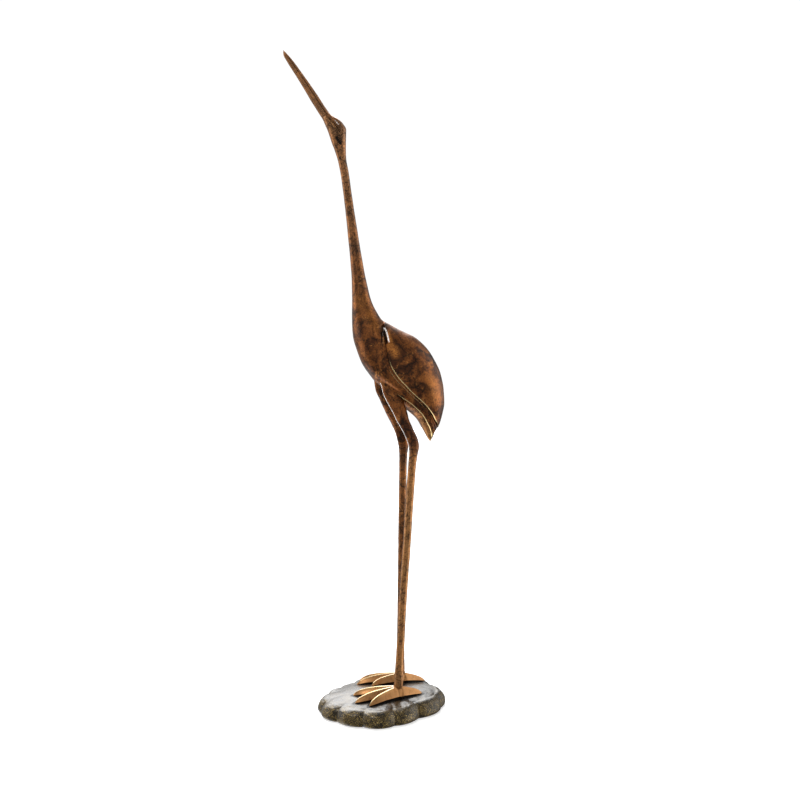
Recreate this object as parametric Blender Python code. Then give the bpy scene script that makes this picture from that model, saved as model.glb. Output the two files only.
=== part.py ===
"""Crane garden statue: a slender cast crane, bill raised, on a scalloped low dome.

Metres, +Z up. The origin is the middle of the base's flat underside, and the crane
looks along -X. The figure's pose and carving are shares of its own height: a value
called a share is in thousandths of FIGURE_HEIGHT.
"""
import math

import bmesh
import bpy
from mathutils import Vector

# Main sizes
FIGURE_HEIGHT = 1.052
LEG_SPACING = 0.071
SHIN_DIAMETER = 0.013
BASE_LENGTH = 0.214
BASE_WIDTH = 0.181
BASE_TURN = math.radians(25.0)
DOME_HEIGHT = 0.034

# Outline of the base in plan: waves around it, size as a share of the radius, first crest
OUTLINE_WAVES = [(3, 0.021, math.radians(-14.0)), (4, 0.045, math.radians(-2.0))]
# Extra reach of the rim on the far side, and of one lobe there: share, direction, sharpness
FAR_REACH = 0.07
FAR_LOBE = (0.12, math.radians(40.0), 14)

# Rounded edge of the base
EDGE_HEIGHT = 0.021
EDGE_ROUND = 0.017
EDGE_RINGS = 4
FOOT_TUCK = 0.003
BULGE_HEIGHT = 0.006
DOME_RINGS = 6

# Lobes of the base: how deep the clefts between them are, how much of a cleft shows at the
# foot and at the shoulder of the edge, how far it dips, and where on the dome it ends
LOBES = 12
LOBE_DEPTH = 0.007
LOBE_STEPS = 7
LOBE_AT_FOOT = 0.8
LOBE_AT_SHOULDER = 0.28
LOBE_DIP = 0.5
LOBE_FADE = 0.45
LOBE_START = math.radians(18.0)
LOBE_DRIFT = math.radians(14.0)
LOBE_DRIFT_START = math.radians(20.0)

# Toes: degrees turned from straight ahead towards the near side, length, and how late the
# ridge falls and the sides close to the tip, from 1 for a straight slope
NEAR_TOES = [(-11.5, 0.0735, 5.0), (11.5, 0.0735, 5.0), (31.0, 0.059, 5.0), (201.0, 0.045, 2.8)]
FAR_TOES = [(-21.0, 0.0735, 5.0), (1.0, 0.076, 5.0), (23.5, 0.058, 5.0), (205.0, 0.050, 2.6)]
TOE_WIDTH = 0.0145
TOE_HEIGHT = 0.0125
ANKLE_HEIGHT = 0.018

# Space kept between the crane and the base, and the distance at which corners merge
PART_GAP = 0.0003
MERGE = 0.000001

# Side outline from the tip of the bill to the tip of the tail, in shares:
# back x, back height, front x, front height, half width
OUTLINE = [
    (-154.0, 1000.0, -154.0, 1000.0, 0.0),
    (-150.6, 996.9, -154.8, 993.7, 2.2),
    (-141.2, 986.9, -148.1, 982.2, 4.0),
    (-123.6, 963.9, -132.3, 957.9, 4.9),
    (-102.3, 934.6, -113.2, 926.8, 6.1),
    (-85.9, 910.3, -97.5, 902.3, 7.2),
    (-77.9, 901.0, -92.5, 894.7, 8.6),
    (-65.6, 894.5, -88.3, 885.5, 10.6),
    (-60.2, 888.6, -84.7, 877.0, 11.6),
    (-55.6, 879.9, -81.2, 867.0, 11.6),
    (-55.8, 867.3, -78.1, 857.7, 10.2),
    (-56.1, 853.1, -74.5, 848.4, 8.2),
    (-55.6, 835.9, -69.4, 832.2, 6.6),
    (-52.0, 813.9, -64.9, 811.9, 6.1),
    (-47.9, 785.8, -60.8, 783.0, 6.2),
    (-38.2, 723.1, -53.6, 719.5, 8.0),
    (-27.5, 660.4, -48.0, 657.5, 10.2),
    (-22.6, 636.8, -46.9, 634.7, 11.8),
    (-16.4, 613.2, -46.4, 612.7, 13.8),
    (-8.1, 595.2, -46.6, 595.4, 17.0),
    (0.7, 581.9, -46.6, 578.1, 21.4),
    (11.4, 575.7, -45.0, 556.1, 27.0),
    (23.0, 569.5, -39.0, 534.6, 32.5),
    (36.8, 562.9, -30.8, 513.7, 36.6),
    (49.4, 557.4, -21.3, 499.5, 39.5),
    (70.1, 540.5, -11.7, 486.9, 41.8),
    (84.6, 519.6, 5.8, 471.1, 41.8),
    (95.2, 495.3, 21.8, 458.5, 39.0),
    (99.3, 474.5, 39.4, 441.0, 33.8),
    (100.9, 450.5, 55.5, 426.7, 26.6),
    (97.7, 432.9, 64.4, 412.3, 20.5),
    (93.6, 418.2, 70.4, 401.9, 14.8),
    (90.9, 412.6, 72.5, 398.0, 11.0),
    (86.2, 406.6, 76.2, 391.9, 8.0),
    (83.0, 397.7, 77.4, 390.4, 4.4),
    (78.8, 389.5, 78.8, 389.5, 0.0),
]

# Carved lines of the sides: where each runs on the outline's rows, as row and angle
# down from the back. On the bill the first two are the edges of the mouth.
WING_EDGE = [(0, 78), (9, 78), (14, 58), (18, 30), (20, 16), (20.5, 30), (21, 49), (22, 73),
             (23, 90), (24, 104), (25, 114), (26, 118), (27, 117), (28, 108), (29, 99),
             (30, 84), (31, 56), (32, 14), (33, 10), (35, 10)]
MIDDLE_EDGE = [(0, 92), (9, 92), (18, 75), (20, 66), (21, 78), (22, 92), (23, 103), (24, 112),
               (25, 121), (26, 125), (27, 124), (28, 116), (29, 107), (30, 94), (31, 76),
               (32, 56), (33, 44), (35, 44)]
SKIRT_EDGE = [(0, 136), (20, 140), (23, 158), (24, 167), (25, 165), (26, 152), (27, 148),
              (28, 135), (29, 131), (30, 124), (31, 117), (33, 113), (35, 113)]

# How deep each line is cut, in shares, row by row in the same way
WING_STEP = [(19.9, 0), (20.5, 1.4), (21.1, 4.8), (21.7, 4.6), (22.5, 2.4), (25, 2.9),
             (30, 2.8), (31.8, 2.2), (33, 0), (35, 0)]
MIDDLE_STEP = [(22, 0), (24.5, 1.7), (30, 2.0), (31.8, 1.6), (33, 0.4), (35, 0)]
SKIRT_STEP = [(24.4, 0), (25.6, 2.6), (28, 3.2), (31, 2.8), (33, 1.6), (34.2, 0.8), (35, 0)]
BACK_GROOVE = [(20, 0), (21, 1.2), (26, 1.2), (30, 2.0), (31.8, 3.6), (32.7, 0), (35, 0)]
MOUTH_GROOVE = [(0, 0), (1.2, 0), (2, 0.9), (5, 1.1), (6.6, 0), (35, 0)]
BROW = [(0, 0), (5.5, 0), (7.5, 1.3), (9, 0.8), (10.5, 0), (35, 0)]

# How much fuller than an oval the flanks are below their widest line, row by row
FULLNESS = [(0, 0), (20, 0), (24, 0.22), (31, 0.22), (34, 0), (35, 0)]

# How far the foot of a deep step is tucked under its edge, in degrees, from what depth on,
# and how far it moves away from the edge where there is no step
TUCK_ANGLE = 1.2
TUCK_DEPTH = 1.5
FLAT_SHIFT = 0.12

# Columns of the skin between the carved lines, as shares of the way from one line to the
# next, with how much of the brow or of the step above shows there
WING_COLUMNS = [(0.10, 0.0), (0.30, 0.0), (0.50, 0.4), (0.70, 1.0), (0.88, 0.2)]
THIGH_COLUMNS = [(0.25, 0.8), (0.50, 0.4)]
BELLY_COLUMNS = [(0.33, 0.6), (0.67, 0.2)]
SKIRT_TOP = 0.78
SKIRT_DEPTH = 0.8
RIM_LIFT = 0.35
TIER_DEPTH = 0.25

# Rows at which the skin gets a ring: first row, last row, rings for each row
RING_SPANS = [(0, 5, 1), (5, 12, 2), (12, 18, 1), (18, 35, 2)]

# Legs from the hip, hidden in the body, to the sole, in shares:
# height, near x, far x, distance from the middle as a share of LEG_SPACING / 2, half
# depth and half width as shares of the shin's radius
LEG_ROWS = [
    (490, 10.8, 5.6, 0.40, 2.60, 1.25),
    (472, 13.3, 6.8, 0.44, 2.25, 1.30),
    (455, 19.0, 13.8, 0.52, 2.15, 1.36),
    (437, 26.5, 20.9, 0.62, 1.85, 1.34),
    (424, 30.8, 26.2, 0.70, 1.60, 1.28),
    (409, 38.2, 33.0, 0.78, 1.46, 1.22),
    (393, 45.3, 38.3, 0.85, 1.42, 1.16),
    (381, 47.5, 40.3, 0.89, 1.28, 1.16),
    (367, 46.0, 39.9, 0.90, 1.08, 1.06),
    (354, 44.3, 39.4, 0.91, 1.03, 1.02),
    (285, 39.2, 38.4, 0.93, 1.00, 1.00),
    (232, 35.8, 37.7, 0.95, 1.00, 1.00),
    (192, 32.7, 37.4, 0.96, 1.00, 0.98),
    (146, 29.5, 37.0, 0.97, 1.00, 0.98),
    (99, 27.0, 36.3, 0.98, 0.99, 0.97),
    (52, 24.3, 35.6, 0.99, 1.02, 0.99),
    (24, 22.9, 35.7, 1.00, 1.12, 1.00),
    (14, 22.3, 35.6, 1.00, 1.10, 0.84),
    (7, 22.0, 36.0, 1.00, 1.05, 0.62),
    (0, 21.8, 36.4, 1.00, 1.00, 0.50),
    (-9, 21.8, 36.4, 1.00, 1.00, 0.50),
]
LEG_SIDES = 12

# One toe's cross-section, from the ridge round the outer side to the sole's middle:
# distance from its middle line and height, as shares of its half width and its height
TOE_SECTION = [(0.0, 1.0), (0.5, 0.60), (1.0, 0.24), (0.55, -0.12), (0.0, -0.12)]
TOE_RINGS = 10

# Along a toe: how far it starts past the ankle, how wide its root is and how far that
# reaches, as shares of its width and length, how round its tip is, and how high its end
# points lie, as a share of its height
TOE_START = 0.007
TOE_ROOT = 1.4
ROOT_REACH = 0.6
TIP_CURVE = 0.6
TOE_END = 0.1


def share(value):
    """A length given in thousandths of the figure's height, in metres."""
    return value * FIGURE_HEIGHT / 1000.0


def slope(left, right):
    """The slope at a point of a curve that never swings past its own points."""
    if left * right <= 0.0:
        return 0.0
    return 2.0 * left * right / (left + right)


def curve_value(knots, values, place):
    """The value at a place of a smooth curve through the values at the knots."""
    place = min(max(place, knots[0]), knots[-1])
    span = 0
    while span < len(knots) - 2 and place > knots[span + 1]:
        span += 1
    chords = []
    for i in range(max(span - 1, 0), min(span + 2, len(knots) - 1)):
        chords.append((values[i + 1] - values[i]) / (knots[i + 1] - knots[i]))
    here = chords[1] if span > 0 else chords[0]
    start = slope(chords[0], here) if span > 0 else here
    end = slope(here, chords[-1]) if span < len(knots) - 2 else here
    width = knots[span + 1] - knots[span]
    t = (place - knots[span]) / width
    rise = values[span + 1] - values[span]
    bend = t * (1.0 - t) * ((start * width - rise) * (1.0 - t) + (rise - end * width) * t)
    return values[span] + rise * t + bend


def line_value(points, place):
    """The value at a place of a curve given as (place, value) points."""
    return curve_value([p[0] for p in points], [p[1] for p in points], place)


def outline_knots():
    """How far along the figure each row of the outline lies."""
    knots = [0.0]
    for before, after in zip(OUTLINE, OUTLINE[1:]):
        across = (after[0] + after[2] - before[0] - before[2]) / 2.0
        down = (after[1] + after[3] - before[1] - before[3]) / 2.0
        knots.append(knots[-1] + math.hypot(across, down))
    return knots


def outline_at(row, knots):
    """Back point, front point and half width of the figure at a row, in metres."""
    first = min(int(row), len(OUTLINE) - 2)
    place = knots[first] + (row - first) * (knots[first + 1] - knots[first])
    values = []
    for column in range(5):
        values.append(share(curve_value(knots, [r[column] for r in OUTLINE], place)))
    back = Vector((values[0], 0.0, values[1] + DOME_HEIGHT))
    front = Vector((values[2], 0.0, values[3] + DOME_HEIGHT))
    return back, front, values[4]


def tucked(edge, below, step):
    """Angle of the foot of a step: under its edge when the step is deep, past it when flat."""
    depth = min(step / TUCK_DEPTH, 1.0)
    return edge - TUCK_ANGLE * depth + (below - edge) * FLAT_SHIFT * (1.0 - depth)


def side_columns(row):
    """Angle from the back, in degrees, and lift, in shares, of each column at a row."""
    wing = line_value(WING_EDGE, row)
    middle = line_value(MIDDLE_EDGE, row)
    skirt = line_value(SKIRT_EDGE, row)
    wing_step = line_value(WING_STEP, row)
    middle_step = line_value(MIDDLE_STEP, row)
    skirt_step = line_value(SKIRT_STEP, row)
    mouth = line_value(MOUTH_GROOVE, row)
    brow = line_value(BROW, row)
    tier = wing_step * TIER_DEPTH
    columns = [(0.0, -line_value(BACK_GROOVE, row))]
    columns += [(wing * part, brow * shown) for part, shown in WING_COLUMNS]
    columns.append((wing, wing_step * RIM_LIFT))
    columns.append((tucked(wing, middle, wing_step), -wing_step - mouth))
    columns.append((middle, -tier))
    columns.append((tucked(middle, skirt, middle_step), -tier - middle_step))
    for part, shown in THIGH_COLUMNS:
        columns.append((middle + (skirt - middle) * part, -middle_step * shown))
    columns.append((middle + (skirt - middle) * SKIRT_TOP, -skirt_step * RIM_LIFT))
    columns.append((skirt, skirt_step * RIM_LIFT))
    columns.append((tucked(skirt, 180.0, skirt_step), -skirt_step * SKIRT_DEPTH))
    for part, shown in BELLY_COLUMNS:
        columns.append((skirt + (180.0 - skirt) * part, -skirt_step * shown))
    columns.append((180.0, 0.0))
    return columns


def ring_rows():
    """The rows of the outline at which the skin gets a ring."""
    rows = []
    for first, last, rings in RING_SPANS:
        for step in range((last - first) * rings):
            rows.append(first + step / rings)
    rows.append(float(len(OUTLINE) - 1))
    return rows


def body_point(section, angle, lift, side):
    """A point of a cross-section, lifted straight out of its rounded curve."""
    back, front, half_width, fullness = section
    middle = (back + front) / 2.0
    up = (back - front) / 2.0
    half_depth = up.length
    if half_depth < MERGE:
        return middle
    turn = math.radians(angle)
    across = half_width * math.sin(turn)
    if angle > 90.0:
        across = half_width * max(math.sin(turn), 0.0) ** (1.0 - fullness)
    outward = up / half_depth * (math.cos(turn) / half_depth)
    outward = outward + Vector((0.0, side * math.sin(turn) / half_width, 0.0))
    place = middle + up * math.cos(turn) + Vector((0.0, side * across, 0.0))
    return place + outward.normalized() * share(lift)


def closed_skin(steps_along, steps_around, surface):
    """A grid bent by surface(along, around) until its sides and its ends meet."""
    shape = bmesh.new()
    bmesh.ops.create_grid(shape, x_segments=steps_along, y_segments=steps_around, size=1.0)
    for corner in shape.verts:
        along = round((corner.co.x + 1.0) * 0.5 * steps_along)
        around = round((corner.co.y + 1.0) * 0.5 * steps_around)
        corner.co = surface(along, around)
    bmesh.ops.remove_doubles(shape, verts=shape.verts, dist=MERGE)
    bmesh.ops.recalc_face_normals(shape, faces=shape.faces)
    return shape


def add_object(name, shape, collection):
    """Turn a bmesh into an object of the collection."""
    mesh = bpy.data.meshes.new(name)
    shape.to_mesh(mesh)
    shape.free()
    thing = bpy.data.objects.new(name, mesh)
    collection.objects.link(thing)
    return thing


def add_helper(name, shape, collection):
    """An object that only joins or cuts another one."""
    thing = add_object(name, shape, collection)
    thing.hide_render = True
    thing.display_type = "WIRE"
    return thing


def metal(name, colour, roughness):
    """A metal finish."""
    finish = bpy.data.materials.new(name)
    finish.use_nodes = True
    shader = finish.node_tree.nodes["Principled BSDF"]
    shader.inputs["Base Color"].default_value = (*colour, 1.0)
    shader.inputs["Metallic"].default_value = 1.0
    shader.inputs["Roughness"].default_value = roughness
    finish.diffuse_color = (*colour, 1.0)
    return finish


def body_shape():
    """Bill, head, neck, body, folded wings and tail as one closed skin."""
    knots = outline_knots()
    rows = ring_rows()
    sections = [(*outline_at(row, knots), line_value(FULLNESS, row)) for row in rows]
    columns = [side_columns(row) for row in rows]
    half = len(columns[0]) - 1

    def surface(along, around):
        side = -1.0 if around < half else 1.0
        angle, lift = columns[along][abs(around - half)]
        return body_point(sections[along], angle, lift, side)

    return closed_skin(len(rows) - 1, 2 * half, surface)


def leg_shape(far):
    """One leg, from inside the body to just above the sole."""
    side = 1.0 if far else -1.0

    def surface(along, around):
        height, near_x, far_x, out, depth, width = LEG_ROWS[min(max(along - 1, 0), len(LEG_ROWS) - 1)]
        open_ring = 1.0 if 1 <= along <= len(LEG_ROWS) else 0.0
        turn = math.tau * around / LEG_SIDES
        radius = SHIN_DIAMETER / 2.0 * open_ring
        x = share(far_x if far else near_x) - depth * radius * math.cos(turn)
        y = side * LEG_SPACING / 2.0 * out + width * radius * math.sin(turn)
        return Vector((x, y, DOME_HEIGHT + share(height)))

    return closed_skin(len(LEG_ROWS) + 1, LEG_SIDES, surface)


def base_radius(angle):
    """Distance from the middle of the base to its turned oval rim, without lobes."""
    turned = angle - BASE_TURN
    oval = 1.0 / math.hypot(2.0 * math.cos(turned) / BASE_LENGTH, 2.0 * math.sin(turned) / BASE_WIDTH)
    wave = 1.0
    for count, size, crest in OUTLINE_WAVES:
        wave += size * math.cos(count * (angle - crest))
    wave += FAR_REACH / 2.0 * math.sin(angle) * (1.0 + math.sin(angle))
    size, crest, sharpness = FAR_LOBE
    wave += size * max(math.cos(angle - crest), 0.0) ** sharpness
    return oval * wave


def lobe_cut(angle):
    """How far the rim is drawn in at an angle: nothing on a lobe, most in a cleft."""
    wave = math.sin((angle - LOBE_START) * LOBES / 2.0)
    return LOBE_DEPTH * (1.0 - math.sqrt(abs(wave)))


def dome_top(radius_share):
    """Height of the smooth dome at a share of the oval rim's radius."""
    return EDGE_HEIGHT + (DOME_HEIGHT - EDGE_HEIGHT) * (1.0 - radius_share ** 2)


def dome_at(x, y):
    """Height of the smooth dome at a point in plan."""
    angle = math.atan2(y, x)
    return dome_top(min(math.hypot(x, y) / base_radius(angle), 1.0))


def base_profile(outer, cut):
    """Radius and height of each ring of the base in one direction, from the underside up."""
    rings = [(outer - FOOT_TUCK - cut * LOBE_AT_FOOT, 0.0), (outer - cut, BULGE_HEIGHT)]
    shoulder = dome_top((outer - EDGE_ROUND) / outer)
    for step in range(1, EDGE_RINGS + 1):
        turn = math.radians(90.0) * step / EDGE_RINGS
        lobed = cut * (1.0 - (1.0 - LOBE_AT_SHOULDER) * step / EDGE_RINGS)
        height = BULGE_HEIGHT + (shoulder - BULGE_HEIGHT - lobed * LOBE_DIP) * math.sin(turn)
        rings.append((outer - EDGE_ROUND * (1.0 - math.cos(turn)) - lobed, height))
    edge = rings[-1][0]
    for step in range(1, DOME_RINGS + 1):
        inward = step / (DOME_RINGS + 1)
        radius = edge * (1.0 - inward)
        dip = cut * LOBE_AT_SHOULDER * LOBE_DIP * max(0.0, 1.0 - inward / LOBE_FADE) ** 2
        rings.append((radius, dome_top(radius / outer) - dip))
    return rings


def base_shape():
    """The scalloped dome with its rounded edge and flat underside."""
    around_steps = LOBES * LOBE_STEPS
    profiles = []
    for step in range(around_steps + 1):
        angle = LOBE_START + math.tau * step / around_steps
        heading = angle + LOBE_DRIFT * math.sin(angle + LOBE_DRIFT_START)
        profiles.append((heading, base_profile(base_radius(heading), lobe_cut(angle))))
    top = 2 + EDGE_RINGS + DOME_RINGS + 1

    def surface(along, around):
        heading, rings = profiles[around]
        radius, height = rings[along - 1] if 0 < along < top else (0.0, DOME_HEIGHT * (along == top))
        return Vector((radius * math.cos(heading), radius * math.sin(heading), height))

    return closed_skin(top, around_steps, surface)


def toe_shape(ankle, heading, length, ridge_fall):
    """One toe: a roof-shaped blade with a sharp ridge that curves down at its tip."""
    section = TOE_SECTION + [(-across, up) for across, up in reversed(TOE_SECTION[1:-1])]
    forward = Vector((math.cos(heading), math.sin(heading), 0.0))
    sideways = Vector((-forward.y, forward.x, 0.0))

    def surface(along, around):
        across, up = section[around % len(section)]
        reach = math.sin(math.radians(90.0) * max(along - 1, 0) / (TOE_RINGS - 1))
        height = TOE_HEIGHT + (ANKLE_HEIGHT - TOE_HEIGHT) * (1.0 - reach) ** 2
        fall = (1.0 - reach ** ridge_fall) ** TIP_CURVE
        rise = up * height * fall
        swell = 1.0 + (TOE_ROOT - 1.0) * max(1.0 - reach / ROOT_REACH, 0.0)
        aside = across * TOE_WIDTH / 2.0 * swell * fall
        if along in (0, TOE_RINGS):
            rise = TOE_HEIGHT * TOE_END
            aside = 0.0
        ahead = (length + TOE_START) * reach - TOE_START
        place = ankle + forward * ahead + sideways * aside
        return Vector((place.x, place.y, dome_at(place.x, place.y) + rise))

    return closed_skin(TOE_RINGS, len(section), surface)


def foot_shapes(far):
    """The four toes of one foot."""
    side = 1.0 if far else -1.0
    x = share(LEG_ROWS[-1][2] if far else LEG_ROWS[-1][1])
    ankle = Vector((x, side * LEG_SPACING / 2.0, 0.0))
    toes = []
    for turn, length, ridge_fall in FAR_TOES if far else NEAR_TOES:
        toes.append(toe_shape(ankle, math.pi + math.radians(turn), length, ridge_fall))
    return toes


def build_base(collection):
    """The base that the crane stands on."""
    base = add_object("base", base_shape(), collection)
    base.data.materials.append(metal("base_metal", (0.055, 0.042, 0.020), 0.28))
    base.data.shade_smooth()
    base.data.set_sharp_from_angle(angle=math.radians(40.0))
    return base


def build_crane(collection, limbs, cutters):
    """The crane: its limbs are joined to its body, and its soles follow the dome."""
    crane = add_object("crane", body_shape(), collection)
    for far in (False, True):
        name = "far" if far else "near"
        add_helper(name + "_leg", leg_shape(far), limbs)
        for number, toe in enumerate(foot_shapes(far)):
            add_helper(f"{name}_toe_{number + 1}", toe, limbs)
    ground = base_shape()
    bmesh.ops.translate(ground, verts=ground.verts, vec=(0.0, 0.0, PART_GAP))
    raised_base = add_helper("raised_base", ground, cutters)

    join = crane.modifiers.new("join_limbs", "BOOLEAN")
    join.operation = "UNION"
    join.solver = "EXACT"
    join.operand_type = "COLLECTION"
    join.collection = limbs
    cut = crane.modifiers.new("cut_soles", "BOOLEAN")
    cut.operation = "DIFFERENCE"
    cut.solver = "EXACT"
    cut.object = raised_base
    crane.data.materials.append(metal("crane_metal", (0.36, 0.17, 0.07), 0.38))
    crane.data.shade_smooth()
    crane.data.set_sharp_from_angle(angle=math.radians(40.0))
    return crane


def main():
    """Build the statue."""
    for thing in list(bpy.data.objects):
        bpy.data.objects.remove(thing, do_unlink=True)
    statue = bpy.data.collections.new("crane_garden_statue")
    limbs = bpy.data.collections.new("limbs")
    cutters = bpy.data.collections.new("cutters")
    for collection in (statue, limbs, cutters):
        bpy.context.scene.collection.children.link(collection)
    build_base(statue)
    build_crane(statue, limbs, cutters)


main()
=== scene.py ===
"""Crane garden statue: fine surfaces, finishes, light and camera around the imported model.

Metres, +Z up. A value called a share is in thousandths of the figure's height, and heights
in shares are measured from the top of the base.
"""
import logging
import math
from collections.abc import Sequence
from dataclasses import dataclass, field
from enum import Enum

import bmesh
import bpy
import numpy as np
from mathutils import Matrix, Vector, noise
from mathutils.kdtree import KDTree


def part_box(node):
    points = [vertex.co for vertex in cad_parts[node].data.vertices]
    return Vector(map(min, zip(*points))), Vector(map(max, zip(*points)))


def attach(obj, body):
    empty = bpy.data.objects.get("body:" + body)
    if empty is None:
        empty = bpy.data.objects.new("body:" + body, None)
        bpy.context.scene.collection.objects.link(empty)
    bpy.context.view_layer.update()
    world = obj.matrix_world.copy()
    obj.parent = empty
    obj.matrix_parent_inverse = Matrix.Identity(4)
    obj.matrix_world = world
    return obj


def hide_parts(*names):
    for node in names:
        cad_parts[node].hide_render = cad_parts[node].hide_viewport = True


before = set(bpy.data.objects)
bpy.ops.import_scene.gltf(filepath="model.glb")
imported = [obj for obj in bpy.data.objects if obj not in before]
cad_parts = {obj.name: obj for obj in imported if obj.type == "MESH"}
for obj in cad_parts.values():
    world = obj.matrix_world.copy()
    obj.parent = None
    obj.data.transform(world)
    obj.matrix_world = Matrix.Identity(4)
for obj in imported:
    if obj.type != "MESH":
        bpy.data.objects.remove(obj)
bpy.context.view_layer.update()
log = logging.getLogger("crane")

# Side outline from the tip of the bill to the tip of the tail, in shares:
# back x, back height, front x, front height, half width
OUTLINE = [
    (-154.0, 1000.0, -154.0, 1000.0, 0.0),
    (-150.6, 996.9, -154.0, 994.6, 2.0),
    (-141.2, 986.9, -148.1, 982.2, 4.0),
    (-123.6, 963.9, -132.3, 957.9, 4.9),
    (-102.3, 934.6, -113.2, 926.8, 6.1),
    (-85.9, 910.3, -97.5, 902.3, 7.2),
    (-77.9, 901.0, -92.5, 894.7, 8.6),
    (-65.6, 894.5, -88.3, 885.5, 10.6),
    (-60.2, 888.6, -84.7, 877.0, 11.6),
    (-55.6, 879.9, -81.2, 867.0, 11.6),
    (-55.8, 867.3, -78.1, 857.7, 10.2),
    (-56.1, 853.1, -74.5, 848.4, 8.2),
    (-55.6, 835.9, -69.4, 832.2, 6.6),
    (-52.0, 813.9, -64.9, 811.9, 6.1),
    (-47.9, 785.8, -60.8, 783.0, 6.2),
    (-38.2, 723.1, -53.6, 719.5, 8.0),
    (-27.5, 660.4, -48.0, 657.5, 10.2),
    (-22.6, 636.8, -46.9, 634.7, 11.8),
    (-16.4, 613.2, -46.4, 612.7, 13.8),
    (-8.1, 595.2, -46.6, 595.4, 17.0),
    (0.7, 581.9, -46.6, 578.1, 21.4),
    (11.4, 575.7, -45.0, 556.1, 27.0),
    (23.0, 569.5, -39.0, 534.6, 32.5),
    (36.8, 562.9, -30.8, 513.7, 36.6),
    (49.4, 557.4, -21.3, 499.5, 39.5),
    (70.1, 540.5, -11.7, 486.9, 41.8),
    (84.6, 519.6, 5.8, 471.1, 41.8),
    (95.2, 495.3, 21.8, 458.5, 39.0),
    (99.3, 474.5, 39.4, 441.0, 33.8),
    (100.9, 450.5, 55.5, 426.7, 26.6),
    (97.7, 432.9, 64.4, 412.3, 20.5),
    (93.6, 418.2, 70.4, 401.9, 14.8),
    (90.9, 412.6, 72.5, 398.0, 11.0),
    (86.2, 406.6, 76.2, 391.9, 8.0),
    (83.0, 397.7, 77.4, 390.4, 4.4),
    (78.8, 389.5, 78.8, 389.5, 0.0),
]

# Carved lines of the sides: place on the outline's rows and angle down from the back
WING_EDGE = [(0, 78), (9, 78), (14, 58), (18, 30), (20, 16), (20.5, 30), (21, 49), (22, 73),
             (23, 90), (24, 104), (25, 114), (26, 118), (27, 117), (28, 108), (29, 99),
             (30, 84), (31, 56), (32, 14), (33, 10), (35, 10)]
MIDDLE_EDGE = [(0, 92), (9, 92), (18, 75), (20, 66), (21, 78), (22, 92), (23, 103), (24, 112),
               (25, 121), (26, 125), (27, 124), (28, 116), (29, 107), (30, 94), (31, 76),
               (32, 56), (33, 44), (35, 44)]
SKIRT_EDGE = [(0, 136), (20, 140), (23, 158), (24, 167), (25, 165), (26, 152), (27, 148),
              (28, 135), (29, 131), (30, 124), (31, 117), (33, 113), (35, 113)]

# How deep each line is cut, in shares, row by row in the same way
WING_STEP = [(20.3, 0), (20.8, 1.6), (21.2, 4.4), (21.7, 4.4), (22.5, 2.4), (25, 2.9),
             (30, 2.8), (31.8, 2.2), (33, 0), (35, 0)]
MIDDLE_STEP = [(22, 0), (24.5, 1.7), (30, 2.0), (31.8, 1.6), (33, 0.4), (35, 0)]
SKIRT_STEP = [(24.4, 0), (25.6, 2.6), (28, 3.2), (31, 2.8), (33, 1.6), (34.2, 0.8), (35, 0)]
BACK_GROOVE = [(20, 0), (21, 1.2), (26, 1.2), (30, 2.0), (31.8, 3.6), (32.7, 0), (35, 0)]
MOUTH_GROOVE = [(0, 0), (1.2, 0), (2, 0.9), (5, 1.1), (6.6, 0), (35, 0)]
BROW = [(0, 0), (5.5, 0), (7.5, 1.3), (9, 0.8), (10.5, 0), (35, 0)]
FULLNESS = [(0, 0), (20, 0), (24, 0.22), (31, 0.22), (34, 0), (35, 0)]

# The fine bead along the wing's edge, in shares, and the strength of the painted shade on the belly and of
# the painted reflection that makes the underside of the tail pale, row by row
WING_BEAD = [(0, 0), (21, 0), (23, 0.5), (31, 0.5), (32, 0)]
BELLY_SHADE = [(0, 0), (19, 0), (22, 0.36), (27, 0.36), (29.5, 0), (35, 0)]
TAIL_PAINTED_REFLECTION = [(0, 0), (27, 0), (29.5, 0.6), (31, 0.9), (34, 0.9), (35, 0)]

# Columns of the skin between the carved lines, as shares of the way from one line to the
# next, with how much of the brow or of the step above shows there
WING_COLUMNS = [(0.10, 0.0), (0.30, 0.0), (0.50, 0.4), (0.70, 1.0), (0.88, 0.2)]
THIGH_COLUMNS = [(0.25, 0.8), (0.50, 0.4)]
BELLY_COLUMNS = [(0.33, 0.6), (0.67, 0.2)]
SKIRT_TOP = 0.78
SKIRT_DEPTH = 0.8
RIM_LIFT = 0.35
TIER_DEPTH = 0.25
TUCK_ANGLE = 1.2
TUCK_DEPTH = 1.5
FLAT_SHIFT = 0.12

# Fine rings for each stretch of rows, and fine columns between each pair of columns
RING_SPANS = [(0, 5, 8), (5, 12, 12), (12, 18, 14), (18, 35, 11)]
COLUMN_SPANS = [3, 4, 5, 6, 5, 5, 5, 7, 5, 5, 5, 6, 5, 5, 6, 6, 5]
WING_COLUMN = 6
WING_FOOT = 7
MIDDLE_COLUMN = 8
MIDDLE_FOOT = 9
SKIRT_COLUMN = 13
SKIRT_FOOT = 14

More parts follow.
